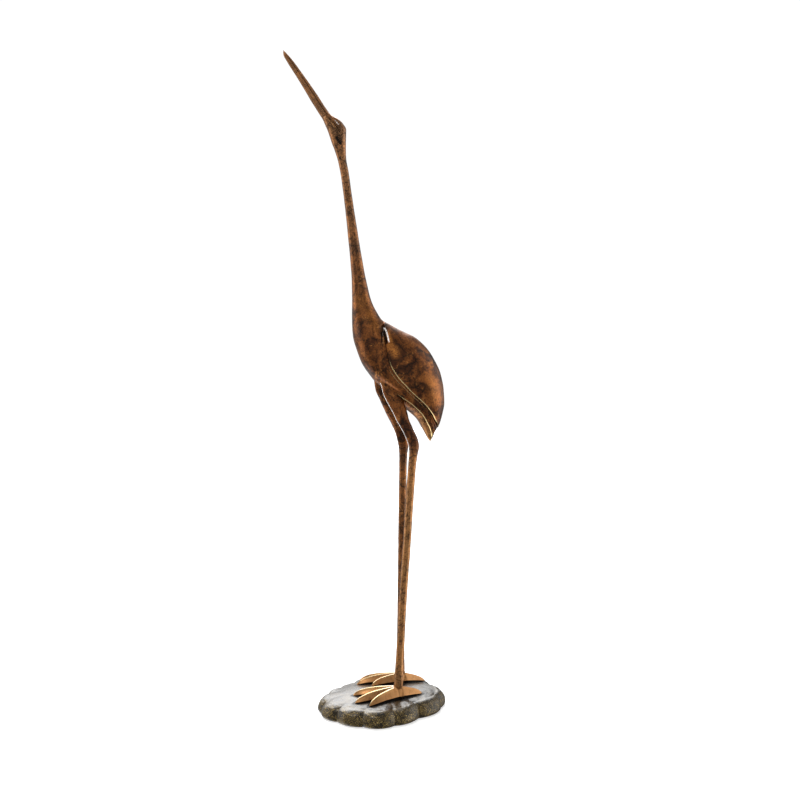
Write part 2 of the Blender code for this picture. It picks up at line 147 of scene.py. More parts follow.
# Legs from the hip, hidden in the body, to the sole: height, near x, far x in shares,
# distance from the middle as a share of half the leg spacing, half depth and half width as
# shares of the shin's radius
LEG_ROWS = [
    (490, 10.8, 5.6, 0.40, 2.60, 1.25),
    (472, 13.3, 6.8, 0.44, 2.25, 1.30),
    (455, 19.0, 13.8, 0.52, 2.15, 1.36),
    (437, 26.5, 20.9, 0.62, 1.85, 1.34),
    (424, 30.8, 26.2, 0.70, 1.60, 1.28),
    (409, 38.2, 33.0, 0.78, 1.46, 1.22),
    (393, 45.3, 38.3, 0.85, 1.42, 1.16),
    (381, 47.5, 40.3, 0.89, 1.28, 1.16),
    (367, 46.0, 39.9, 0.90, 1.08, 1.06),
    (354, 44.3, 39.4, 0.91, 1.03, 1.02),
    (285, 39.2, 38.4, 0.93, 1.00, 1.00),
    (232, 35.8, 37.7, 0.95, 1.00, 1.00),
    (192, 32.7, 37.4, 0.96, 1.00, 0.98),
    (146, 29.5, 37.0, 0.97, 1.00, 0.98),
    (99, 27.0, 36.3, 0.98, 0.99, 0.97),
    (52, 24.3, 35.6, 0.99, 1.02, 0.99),
    (24, 22.9, 35.7, 1.00, 1.12, 1.00),
    (14, 22.3, 35.6, 1.00, 1.10, 0.84),
    (7, 22.0, 36.0, 1.00, 1.05, 0.62),
    (0, 21.8, 36.4, 1.00, 1.00, 0.50),
    (-9, 21.8, 36.4, 1.00, 1.00, 0.50),
]

# Toes: degrees turned from straight ahead towards the near side, length, and how late the
# ridge falls to the tip, from 1 for a straight slope
NEAR_TOES = [(-11.5, 0.0735, 5.0), (11.5, 0.0735, 5.0), (31.0, 0.059, 5.0), (201.0, 0.045, 2.8)]
FAR_TOES = [(-21.0, 0.0735, 5.0), (1.0, 0.076, 5.0), (23.5, 0.058, 5.0), (205.0, 0.050, 2.6)]

# A toe's cross-section from its polished ridge down one side: distance from the middle line
# and height, as shares of its half width and its height
TOE_SECTION = [(0.0, 1.0), (0.12, 0.985), (0.18, 0.93), (0.33, 0.77), (0.5, 0.63), (0.75, 0.45),
               (0.97, 0.30), (1.0, 0.25), (0.95, 0.21), (0.93, -0.02), (0.55, -0.12), (0.0, -0.12)]

# How strongly a toe is gilded above a share of its height, from the ridge down
RIDGE_GILT = [(0.95, 1.0), (0.90, 0.5), (0.75, 0.1)]

# Points closer than the first distance are one; the second is the gap between feet and base;
# edges that turn by more than the angle stay sharp
MERGE = 1e-6
PART_GAP = 0.0003
SHARP_ANGLE = math.radians(38.0)

Pair = tuple[float, float]
Triple = tuple[float, float, float]
Socket = bpy.types.NodeSocket
Inputs = dict[str | int, Socket | float | tuple[float, ...]]
WHITE = (1.0, 1.0, 1.0, 1.0)


def smooth_curve(knots: Sequence[float], values: np.ndarray, places: np.ndarray) -> np.ndarray:
    """Read a smooth curve that never swings past its own points.

    Args:
        knots: where the points lie along the curve.
        values: the points' values, along the last axis.
        places: where the curve is read.

    Returns:
        The values at the places, along the last axis.
    """
    knots = np.asarray(knots, float)
    values = np.asarray(values, float)
    width = np.diff(knots)
    rise = np.diff(values, axis=-1)
    chord = rise / width
    slope = np.empty_like(values)
    slope[..., 0] = chord[..., 0]
    slope[..., -1] = chord[..., -1]
    total = chord[..., :-1] + chord[..., 1:]
    product = chord[..., :-1] * chord[..., 1:]
    safe = np.where(product > 0.0, total, 1.0)
    slope[..., 1:-1] = np.where(product > 0.0, 2.0 * product / safe, 0.0)
    places = np.clip(places, knots[0], knots[-1])
    span = np.clip(np.searchsorted(knots, places, side="left") - 1, 0, len(knots) - 2)
    t = (places - knots[span]) / width[span]
    start = slope[..., span] * width[span] - rise[..., span]
    end = rise[..., span] - slope[..., span + 1] * width[span]
    return values[..., span] + rise[..., span] * t + t * (1.0 - t) * (start * (1.0 - t) + end * t)


def line_value(points: Sequence[Pair], places: np.ndarray) -> np.ndarray:
    """Read a curve given as (place, value) points."""
    table = np.array(points, float)
    return smooth_curve(table[:, 0], table[:, 1], places)


def bell(distance: np.ndarray, width: float) -> np.ndarray:
    """A soft bump: 1 at no distance, fading over about its width."""
    return np.exp(-(distance / width) ** 2)


def ramp(value: np.ndarray, start: float, end: float) -> np.ndarray:
    """A smooth rise from 0 at start to 1 at end."""
    t = np.clip((value - start) / (end - start), 0.0, 1.0)
    return t * t * (3.0 - 2.0 * t)


def distance_to_line(points: np.ndarray, corners: Sequence[Pair]) -> np.ndarray:
    """Measure how far points of a picture plane lie from a line.

    Args:
        points: the points, two values each.
        corners: the corners that the line runs through.

    Returns:
        The distance of each point.
    """
    best = np.full(len(points), np.inf)
    path = np.array(corners, float)
    for start, end in zip(path, path[1:]):
        along = end - start
        t = np.clip((points - start) @ along / (along @ along), 0.0, 1.0)
        nearest = start + t[:, None] * along
        best = np.minimum(best, np.linalg.norm(points - nearest, axis=1))
    return best


class Mark(Enum):
    """Where a finish differs or light and shade are painted, kept as a value on each corner point of the
    mesh.
    """

    GILT = "gilt"
    # Painted white highlight: along the ridges of the legs and toes, on the lip of the shoulder notch and
    # in a streak on the head
    PAINTED_WHITE_HIGHLIGHT = "painted_white_highlight"
    # Painted shade: in grooves, slits and at the feet of steps, on the belly and the tops of the thighs,
    # along the foot of each toe and on the base round the feet
    PAINTED_SHADE = "painted_shade"
    # The feet's own warm tone, and painted light on the legs, the ridges of the head, a ridge in the
    # shoulder notch and the underside of the tail
    WARM_AND_PAINTED_LIGHT = "warm_and_painted_light"
    # Painted orange highlight in patches on the shoulder, the wing and the breast
    GLOW = "glow"


@dataclass
class Skin:
    """A grid of points, rings by columns, with its marks."""

    places: np.ndarray
    marks: dict[Mark, np.ndarray] = field(default_factory=dict)

    def mark(self, mark: Mark, strength: np.ndarray) -> None:
        """Add a mark where it is stronger than before."""
        before = self.marks.get(mark, np.zeros(self.places.shape[:2]))
        self.marks[mark] = np.maximum(before, strength)

    def to_bmesh(self) -> bmesh.types.BMesh:
        """Bend a grid onto the points, so that its sides and ends meet, and close it.

        Returns:
            The closed shape, with its faces outwards.
        """
        rings, columns = self.places.shape[:2]
        shape = bmesh.new()
        bmesh.ops.create_grid(shape, x_segments=rings - 1, y_segments=columns - 1, size=1.0)
        for corner in shape.verts:
            ring = round((corner.co.x + 1.0) * 0.5 * (rings - 1))
            column = round((corner.co.y + 1.0) * 0.5 * (columns - 1))
            corner.co = self.places[ring, column]
        bmesh.ops.remove_doubles(shape, verts=shape.verts, dist=MERGE)
        bmesh.ops.recalc_face_normals(shape, faces=shape.faces)
        return shape


class MarkMemory:
    """The marks of all source points, found again once the shapes are joined."""

    def __init__(self, skins: Sequence[Skin]) -> None:
        """Remember the points of the skins and their marks.

        Args:
            skins: every skin that goes into the joined shape.
        """
        self.points = np.concatenate([skin.places.reshape(-1, 3) for skin in skins])
        self.values = {}
        for mark in Mark:
            parts = [skin.marks.get(mark, np.zeros(skin.places.shape[:2])) for skin in skins]
            self.values[mark] = np.concatenate([part.reshape(-1) for part in parts])

    def write(self, mesh: bpy.types.Mesh) -> None:
        """Give each corner point of a mesh the marks of the nearest source point.

        Args:
            mesh: the joined mesh.
        """
        tree = KDTree(len(self.points))
        for number, point in enumerate(self.points):
            tree.insert(point, number)
        tree.balance()
        nearest = np.array([tree.find(corner.co)[1] for corner in mesh.vertices])
        for mark, values in self.values.items():
            layer = mesh.attributes.get(mark.value)
            if layer:
                mesh.attributes.remove(layer)
            layer = mesh.attributes.new(mark.value, "FLOAT", "POINT")
            layer.data.foreach_set("value", values[nearest].astype(np.float32))


def add_object(name: str, shape: bmesh.types.BMesh) -> bpy.types.Object:
    """Turn a bmesh into an object of the scene.

    Args:
        name: the object's name.
        shape: the bmesh, which is freed.

    Returns:
        The new object, at the origin.
    """
    mesh = bpy.data.meshes.new(name)
    shape.to_mesh(mesh)
    shape.free()
    thing = bpy.data.objects.new(name, mesh)
    bpy.context.scene.collection.objects.link(thing)
    return thing


def drop_object(thing: bpy.types.Object) -> None:
    """Remove an object and its mesh.

    Args:
        thing: the object that has done its work.
    """
    mesh = thing.data
    bpy.data.objects.remove(thing, do_unlink=True)
    bpy.data.meshes.remove(mesh)


def cast_wave(place: Vector, scale: float) -> float:
    """The gentle unevenness of a cast and hand-finished surface, from -1 to 1."""
    return noise.noise(place / scale)


@dataclass(frozen=True)
class Sizes:
    """The driving sizes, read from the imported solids."""

    figure_height: float
    dome_height: float
    leg_spacing: float = 0.071
    shin_diameter: float = 0.013
    base_length: float = 0.214
    base_width: float = 0.181
    base_turn: float = math.radians(25.0)

    @classmethod
    def from_frame(cls) -> "Sizes":
        """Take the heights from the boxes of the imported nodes."""
        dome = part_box("base")[1][2]
        return cls(figure_height=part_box("crane")[1][2] - dome, dome_height=dome)

    def share(self, value: float | np.ndarray) -> float | np.ndarray:
        """A length given in thousandths of the figure's height, in metres."""
        return value * self.figure_height / 1000.0


@dataclass
class Dome:
    """The scalloped base: its plan, its profile and its fine skin.

    The waves are (count, share, direction). The rim reaches further on the far side by a share,
    and one lobe there by a share, in a direction, with a sharpness. Lobes fade from the foot to
    the shoulder and inwards over the dome. Lumps are the shallow dents of the casting.
    """

    sizes: Sizes
    outline_waves: tuple[tuple[int, float, float], ...] = (
        (3, 0.021, math.radians(-14.0)), (4, 0.045, math.radians(-2.0)))
    far_reach: float = 0.07
    far_lobe: tuple[float, float, int] = (0.12, math.radians(40.0), 14)
    edge_height: float = 0.021
    edge_round: float = 0.017
    edge_rings: int = 20
    foot_tuck: float = 0.003
    foot_round: float = 0.0016
    bulge_height: float = 0.006
    dome_rings: int = 44
    lobes: int = 12
    lobe_depth: float = 0.007
    lobe_steps: int = 28
    lobe_at_foot: float = 0.8
    lobe_at_shoulder: float = 0.38
    lobe_dip: float = 0.55
    lobe_fade: float = 0.45
    lobe_start: float = math.radians(18.0)
    lobe_drift: float = math.radians(14.0)
    lobe_drift_start: float = math.radians(20.0)
    cleft_round: float = 0.40
    lump_size: float = 0.016
    lump_depth: float = 0.0022
    lump_drop: float = 0.6
    lump_start: float = 3.0
    lump_fade: float = 16.0
    dent_size: float = 0.006
    dent_share: float = 0.4
    rim_gap: float = 0.00012

    def radius(self, angle: float) -> float:
        """Distance from the middle to the turned oval rim, without lobes.

        Args:
            angle: the direction in plan.

        Returns:
            The distance in metres.
        """
        turned = angle - self.sizes.base_turn
        oval = 1.0 / math.hypot(2.0 * math.cos(turned) / self.sizes.base_length,
                                2.0 * math.sin(turned) / self.sizes.base_width)
        wave = sum(size * math.cos(count * (angle - crest))
                   for count, size, crest in self.outline_waves)
        wave += self.far_reach / 2.0 * math.sin(angle) * (1.0 + math.sin(angle))
        size, crest, sharpness = self.far_lobe
        wave += size * max(math.cos(angle - crest), 0.0) ** sharpness
        return oval * (1.0 + wave)

    def lobe_cut(self, angle: float) -> float:
        """How far the rim is drawn in at an angle: nothing on a lobe, most in a cleft.

        Args:
            angle: the direction, counted so that all lobes are alike.

        Returns:
            The distance in metres.
        """
        wave = abs(math.sin((angle - self.lobe_start) * self.lobes / 2.0))
        soft = math.sqrt(wave + self.cleft_round) - math.sqrt(self.cleft_round)
        return self.lobe_depth * (1.0 - soft / (math.sqrt(1.0 + self.cleft_round)
                                                - math.sqrt(self.cleft_round)))

    def top(self, radius_share: float) -> float:
        """Height of the smooth dome at a share of the oval rim's radius."""
        return self.edge_height + (self.sizes.dome_height - self.edge_height) * (1.0 - radius_share ** 2)

    def height_at(self, x: float, y: float) -> float:
        """Height of the smooth dome at a point in plan."""
        return self.top(min(math.hypot(x, y) / self.radius(math.atan2(y, x)), 1.0))

    def profile(self, outer: float, cut: float) -> list[Pair]:
        """Set out the rings in one direction, from the underside up.

        Args:
            outer: the oval rim's radius there.
            cut: how far a cleft draws the rim in there.

        Returns:
            Radius and height of each ring.
        """
        foot = outer - self.foot_tuck - cut * self.lobe_at_foot
        rings = [(foot - self.foot_round, 0.0), (foot, self.foot_round * 0.6)]
        shoulder = self.top((outer - self.edge_round) / outer)
        rings.append(((foot + outer - cut) / 2.0 + self.foot_round * 0.3, self.bulge_height * 0.5))
        rings.append((outer - cut, self.bulge_height))
        for step in range(1, self.edge_rings + 1):
            turn = math.radians(90.0) * step / self.edge_rings
            lobed = cut * (1.0 - (1.0 - self.lobe_at_shoulder) * step / self.edge_rings)
            rise = shoulder - self.bulge_height - lobed * self.lobe_dip
            rings.append((outer - self.edge_round * (1.0 - math.cos(turn)) - lobed,
                          self.bulge_height + rise * math.sin(turn)))
        edge = rings[-1][0]
        for step in range(1, self.dome_rings + 1):
            inward = step / (self.dome_rings + 1)
            radius = edge * (1.0 - inward)
            fade = max(0.0, 1.0 - inward / self.lobe_fade) ** 2
            dip = cut * self.lobe_at_shoulder * self.lobe_dip * fade
            rings.append((radius, self.top(radius / outer) - dip))
        return rings

    def skin(self) -> Skin:
        """The fine skin of the whole base, with the uneven lumps of its casting.

        Returns:
            The skin, ring by ring from the middle of the underside to the middle of the top.
        """
        around = self.lobes * self.lobe_steps
        columns = []
        for step in range(around + 1):
            angle = self.lobe_start + math.tau * step / around
            heading = angle + self.lobe_drift * math.sin(angle + self.lobe_drift_start)
            side = Vector((math.cos(heading), math.sin(heading), 0.0))
            places = [Vector((0.0, 0.0, 0.0))]
            profile = self.profile(self.radius(heading) - self.rim_gap, self.lobe_cut(angle))
            for number, (radius, height) in enumerate(profile):
                place = side * radius + Vector((0.0, 0.0, height))
                lump = max(cast_wave(place, self.lump_size), 0.0)
                lump += self.dent_share * abs(cast_wave(place, self.dent_size))
                inner = max(number - self.edge_rings, 0)
                rim = min(number / self.lump_start, 1.0) * max(0.0, 1.0 - inner / self.lump_fade)
                inset = self.lump_depth * lump * rim
                drop = self.lump_drop * min(number / self.edge_rings, 1.0)
                place -= (side + Vector((0.0, 0.0, drop))) * inset
                places.append(place)
            places.append(Vector((0.0, 0.0, self.sizes.dome_height)))
            columns.append(places)
        columns[-1] = columns[0]
        return Skin(np.array([[tuple(p) for p in places] for places in columns]).transpose(1, 0, 2))


@dataclass
class BodySkin:
    """Bill, head, neck, body, folded wings and tail as one finely carved skin.

    The waves of the cast surface are (height, length). They fade in over the first rings and
    out over the last ones. Fine relief shows only where the skin turns enough to the side.
    """

    sizes: Sizes
    waves: tuple[Pair, ...] = ((0.00030, 0.021), (0.00010, 0.007))
    first_rings: float = 40.0
    last_rings: float = 20.0
    bead_place: float = 0.1
    bead_width: float = 0.22
    side_turn: Pair = (0.15, 0.5)
    rows: np.ndarray = field(init=False)
    fine_columns: np.ndarray = field(init=False)

    def __post_init__(self) -> None:
        """Set out the rings along the figure and the columns round it."""
        rows = []
        for first, last, rings in RING_SPANS:
            rows += [first + step / rings for step in range((last - first) * rings)]
        self.rows = np.array(rows + [float(len(OUTLINE) - 1)])
        columns = []
        for number, steps in enumerate(COLUMN_SPANS):
            columns += [number + step / steps for step in range(steps)]
        self.fine_columns = np.array(columns + [float(len(COLUMN_SPANS))])

    def sections(self) -> np.ndarray:
        """Back point, front point and half width at each ring, in metres.

        Returns:
            An array of rings by five values: back x and height, front x and height, half width.
        """
        outline = np.array(OUTLINE)
        middle = (outline[:, 0:2] + outline[:, 2:4]) / 2.0
        knots = np.concatenate([[0.0], np.cumsum(np.linalg.norm(np.diff(middle, axis=0), axis=1))])
        places = np.interp(self.rows, np.arange(len(knots)), knots)
        values = self.sizes.share(smooth_curve(knots, outline.T, places).T)
        values[:, [1, 3]] += self.sizes.dome_height
        return values

    def coarse_columns(self) -> tuple[np.ndarray, np.ndarray]:
        """Angle and lift of the columns that carry the carved lines, at each ring.

        Returns:
            The angles in degrees and the lifts in shares, both rings by columns.
        """
        wing, middle, skirt = (line_value(line, self.rows) for line in (WING_EDGE, MIDDLE_EDGE, SKIRT_EDGE))
        wing_step, middle_step, skirt_step = (
            line_value(line, self.rows) for line in (WING_STEP, MIDDLE_STEP, SKIRT_STEP))
        brow = line_value(BROW, self.rows)
        tier = wing_step * TIER_DEPTH
        flat = np.zeros_like(wing)
        columns = [(flat, -line_value(BACK_GROOVE, self.rows))]
        columns += [(wing * part, brow * shown) for part, shown in WING_COLUMNS]
        columns.append((wing, wing_step * RIM_LIFT))
        mouth = line_value(MOUTH_GROOVE, self.rows)
        columns.append((self.tucked(wing, middle, wing_step), -wing_step - mouth))
        columns.append((middle, -tier))
        columns.append((self.tucked(middle, skirt, middle_step), -tier - middle_step))
        for part, shown in THIGH_COLUMNS:
            columns.append((middle + (skirt - middle) * part, -middle_step * shown))
        columns.append((middle + (skirt - middle) * SKIRT_TOP, -skirt_step * RIM_LIFT))
        columns.append((skirt, skirt_step * RIM_LIFT))
        columns.append((self.tucked(skirt, flat + 180.0, skirt_step), -skirt_step * SKIRT_DEPTH))
        for part, shown in BELLY_COLUMNS:
            columns.append((skirt + (180.0 - skirt) * part, -skirt_step * shown))
        columns.append((flat + 180.0, flat))
        angles = np.stack([angle for angle, _ in columns], axis=1)
        lifts = np.stack([lift for _, lift in columns], axis=1)
        return angles, lifts

    @staticmethod
    def tucked(edge: np.ndarray, below: np.ndarray, step: np.ndarray) -> np.ndarray:
        """Angle of the foot of a step: under its edge when it is deep, past it when flat."""
        depth = np.minimum(step / TUCK_DEPTH, 1.0)
        return edge - TUCK_ANGLE * depth + (below - edge) * FLAT_SHIFT * (1.0 - depth)

    def half(self, side: float) -> Skin:
        """The skin of one side, from the back to the belly.

        Args:
            side: -1 for the near side, 1 for the far side.

        Returns:
            The skin with its marks.
        """
        values = self.sections()
        angles, lifts = self.coarse_columns()
        numbers = np.arange(angles.shape[1], dtype=float)
        turn = np.radians(smooth_curve(numbers, angles, self.fine_columns))
        lift = self.sizes.share(smooth_curve(numbers, lifts, self.fine_columns))
        back = np.stack([values[:, 0], 0.0 * values[:, 0], values[:, 1]], axis=1)
        front = np.stack([values[:, 2], 0.0 * values[:, 0], values[:, 3]], axis=1)
        middle = (back + front) / 2.0
        up = (back - front) / 2.0
        depth = np.maximum(np.linalg.norm(up, axis=1), MERGE)
        half_width = np.maximum(values[:, 4], MERGE)
        fullness = line_value(FULLNESS, self.rows)
        sine = np.maximum(np.sin(turn), 0.0)
        across = np.where(turn > math.pi / 2.0, sine ** (1.0 - fullness[:, None]), sine)
        across = across * half_width[:, None]
        places = middle[:, None, :] + up[:, None, :] * np.cos(turn)[:, :, None]
        places[:, :, 1] += side * across
        outward = up[:, None, :] * (np.cos(turn) / depth[:, None] ** 2)[:, :, None]
        outward[:, :, 1] += side * np.sin(turn) / half_width[:, None]
        outward /= np.maximum(np.linalg.norm(outward, axis=2), MERGE)[:, :, None]
        skin = Skin(places + outward * lift[:, :, None])
        self.carve(skin, outward)
        skin.places[0] = middle[0]
        skin.places[-1] = middle[-1]
        return skin

    def carve(self, skin: Skin, outward: np.ndarray) -> None:
        """Add the fine relief of one side, mark its rubbed gilt lines, and paint highlights, light and
        shade on its lines, belly and tail.

        Args:
            skin: the skin of one side, which is changed.
            outward: the outward direction at each of its points.
        """
        rings, columns = skin.places.shape[:2]
        flat = skin.places.reshape(-1, 3)
        view = np.stack([flat[:, 0], flat[:, 2] - self.sizes.dome_height], axis=1)
        view *= 1000.0 / self.sizes.figure_height
        aside = np.abs(outward[:, :, 1])
        lift = np.zeros((rings, columns))
        for relief in RELIEFS:
            distance = distance_to_line(view, relief.line).reshape(rings, columns)
            strength = bell(distance, relief.width) * ramp(aside, *self.side_turn)
            lift += strength * self.sizes.share(relief.lift)
            if relief.mark:
                skin.mark(relief.mark, strength * relief.shown)
        for band in BANDS:
            self.mark_line(skin, band)
        bead = self.sizes.share(line_value(WING_BEAD, self.rows))
        beside = bell(self.fine_columns - WING_COLUMN + self.bead_place, self.bead_width)
        lift += bead[:, None] * beside[None, :]
        for ring in range(rings):
            for column in range(columns):
                place = Vector(skin.places[ring, column])
                wave = sum(height * cast_wave(place, length) for height, length in self.waves)
                fade = min(ring / self.first_rings, 1.0, (rings - 1 - ring) / self.last_rings)
                lift[ring, column] += wave * fade
        skin.places += outward * lift[:, :, None]
        # Painted shade on the belly, and a painted reflection that makes the underside of the tail paler
        belly = ramp(self.fine_columns, SKIRT_FOOT - 2.0, SKIRT_FOOT + 1.0)
        skin.mark(Mark.PAINTED_SHADE, belly[None, :] * line_value(BELLY_SHADE, self.rows)[:, None])
        skin.mark(Mark.WARM_AND_PAINTED_LIGHT, belly[None, :] * line_value(TAIL_PAINTED_REFLECTION, self.rows)[:, None])

    def mark_line(self, skin: Skin, band: "Band") -> None:
        """Mark a band along a carved line.

        Args:
            skin: the skin of one side.
            band: the line's column, its mark, strength and width.
        """
        number = int(np.argmin(np.abs(self.fine_columns - band.column)))
        line = skin.places[:, number:number + 1, :]
        distance = np.linalg.norm(skin.places - line, axis=2)
        distance[:, :number] *= band.above
        skin.mark(band.mark, bell(distance, band.width) * line_value(band.strength, self.rows)[:, None])

    def skin(self) -> Skin:
        """Both sides joined along the belly and the back.

        Returns:
            The skin of the whole body.
        """
        near = self.half(-1.0)
        far = self.half(1.0)
        both = Skin(np.concatenate([near.places[:, ::-1], far.places[:, 1:]], axis=1))
        for mark in near.marks:
            both.mark(mark, np.concatenate([near.marks[mark][:, ::-1], far.marks[mark][:, 1:]], axis=1))
        middle = near.places.shape[1] - 1
        both.places[:, middle, 1] = 0.0
        both.places[:, 0, 1] = 0.0
        both.places[:, -1] = both.places[:, 0]
        return both


@dataclass(frozen=True)
class Relief:
    """A fine ridge or groove along a line of the side view, in shares, and what marks it."""

    line: tuple[Pair, ...]
    width: float
    lift: float
    mark: Mark | None = None
    shown: float = 1.0


@dataclass(frozen=True)
class Band:
    """A marked band along one of the carved lines: its strength as (row, strength) points.

    The width is half the band's width in metres, and on the side towards the back the band
    is narrower by the factor above.
    """

    column: int
    mark: Mark
    strength: tuple[Pair, ...]
    width: float
    above: float = 1.0


# From the face down to the shoulder: brow, eye groove and cheek with painted shade in their grooves,
# painted light on their ridges and a painted white highlight; the notch's slits with painted shade, its
# bright lip with a painted white highlight, and patches of painted orange highlight
RELIEFS = [
    Relief(((-96.0, 914.0), (-86.0, 903.5), (-79.5, 896.5), (-74.2, 890.5), (-71.8, 887.2),
            (-68.5, 883.7), (-65.5, 878.0)), 1.7, 1.2),
    Relief(((-75.0, 891.4), (-71.8, 887.2), (-69.2, 884.4)), 1.0, 0.2, Mark.PAINTED_WHITE_HIGHLIGHT, 0.62),
    Relief(((-88.0, 899.5), (-82.0, 893.0), (-78.0, 888.5), (-74.0, 884.5), (-70.5, 880.0),
            (-67.0, 873.5)), 1.1, -1.2, Mark.PAINTED_SHADE, 0.5),
    Relief(((-88.5, 896.0), (-83.0, 890.5), (-77.5, 885.0), (-75.2, 881.6), (-73.0, 878.4),
            (-70.6, 875.3), (-69.0, 870.0)), 1.7, 1.0, Mark.WARM_AND_PAINTED_LIGHT, 0.6),
    Relief(((-86.0, 891.5), (-83.5, 889.0), (-80.4, 886.2), (-78.0, 881.0), (-76.0, 877.0)),
           1.2, -1.0, Mark.PAINTED_SHADE, 0.55),
    Relief(((-86.5, 885.5), (-82.0, 879.5), (-79.0, 873.5)), 1.6, 0.7, Mark.WARM_AND_PAINTED_LIGHT, 0.5),
    Relief(((-72.0, 864.6), (-69.6, 861.2), (-66.4, 856.6)), 2.9, -1.2, Mark.PAINTED_SHADE, 0.95),
    Relief(((-1.7, 560.0), (-2.6, 554.6), (-3.6, 544.8)), 1.6, -2.6, Mark.PAINTED_SHADE, 0.9),
    Relief(((1.6, 561.0), (2.3, 555.2), (3.2, 550.4), (4.2, 543.0)), 1.5, -2.4, Mark.PAINTED_SHADE, 1.0),
    Relief(((0.6, 567.2), (3.7, 561.5), (5.0, 555.9), (6.0, 551.2), (6.6, 544.7)), 1.8, 1.7),
    Relief(((0.6, 567.2), (3.7, 561.5), (5.0, 555.9), (6.0, 551.2), (6.6, 544.7)), 1.5, 0.2,
           Mark.PAINTED_WHITE_HIGHLIGHT, 0.75),
    Relief(((0.4, 566.5), (-0.6, 561.0), (-0.7, 554.0)), 0.9, 0.3, Mark.PAINTED_WHITE_HIGHLIGHT, 0.52),
    Relief(((7.0, 560.0), (9.5, 551.0), (11.0, 545.0)), 2.8, 0.3, Mark.GLOW, 0.8),
    Relief(((9.0, 540.0), (17.0, 527.0)), 6.0, 0.2, Mark.GLOW, 1.0),
    Relief(((73.0, 486.0), (79.0, 474.0), (80.0, 462.0)), 9.0, 0.0, Mark.GLOW, 0.38),
    Relief(((-36.0, 612.0), (-25.0, 593.0), (-12.0, 572.0)), 9.0, 0.0, Mark.GLOW, 0.4),
    Relief(((-0.4, 552.0), (-0.3, 543.0)), 1.3, 0.5, Mark.WARM_AND_PAINTED_LIGHT, 0.8),
]

# Rubbed edges of wing and tail, and painted shade at the feet of their steps, along the mouth and down the
# back
BANDS = [
    Band(WING_COLUMN, Mark.GILT, ((0, 0), (23.5, 0), (24.4, 0.5), (25.4, 0.9), (31.2, 1), (32.2, 0.5),
                                  (33, 0)), 0.0014),
    Band(MIDDLE_COLUMN, Mark.GILT, ((0, 0), (24.0, 0), (25.2, 0.5), (27.4, 0.5), (29, 0.34), (32.6, 0)),
         0.0013),
    Band(SKIRT_COLUMN, Mark.GILT, ((0, 0), (25.4, 0), (27.0, 0.5), (28.4, 1), (33, 1), (35, 0.8)), 0.0016),
    Band(SKIRT_COLUMN, Mark.GILT, ((0, 0), (30, 0), (31.8, 0.8), (34, 0.9), (35, 0.6)), 0.0038),
    Band(WING_FOOT, Mark.PAINTED_SHADE, ((0, 0), (21.8, 0), (22.4, 0.7), (28, 0.75), (30.5, 0.35), (33, 0)),
         0.0032, 4.0),
    Band(WING_FOOT, Mark.PAINTED_SHADE, ((0, 0), (1, 0), (2.5, 0.5), (5.5, 0.6), (6.8, 0)), 0.0012),
    Band(MIDDLE_FOOT, Mark.PAINTED_SHADE, ((0, 0), (23.5, 0), (25, 0.7), (28, 0.6), (30.5, 0.2), (33, 0)),
         0.0024, 3.0),
    Band(0, Mark.PAINTED_SHADE, ((0, 0), (18, 0), (20, 0.42), (31, 0.42), (33, 0)), 0.012),
    Band(SKIRT_FOOT, Mark.PAINTED_SHADE, ((0, 0), (24.5, 0), (25.5, 0.8), (29, 0.7), (31, 0)), 0.0030, 3.0),
]


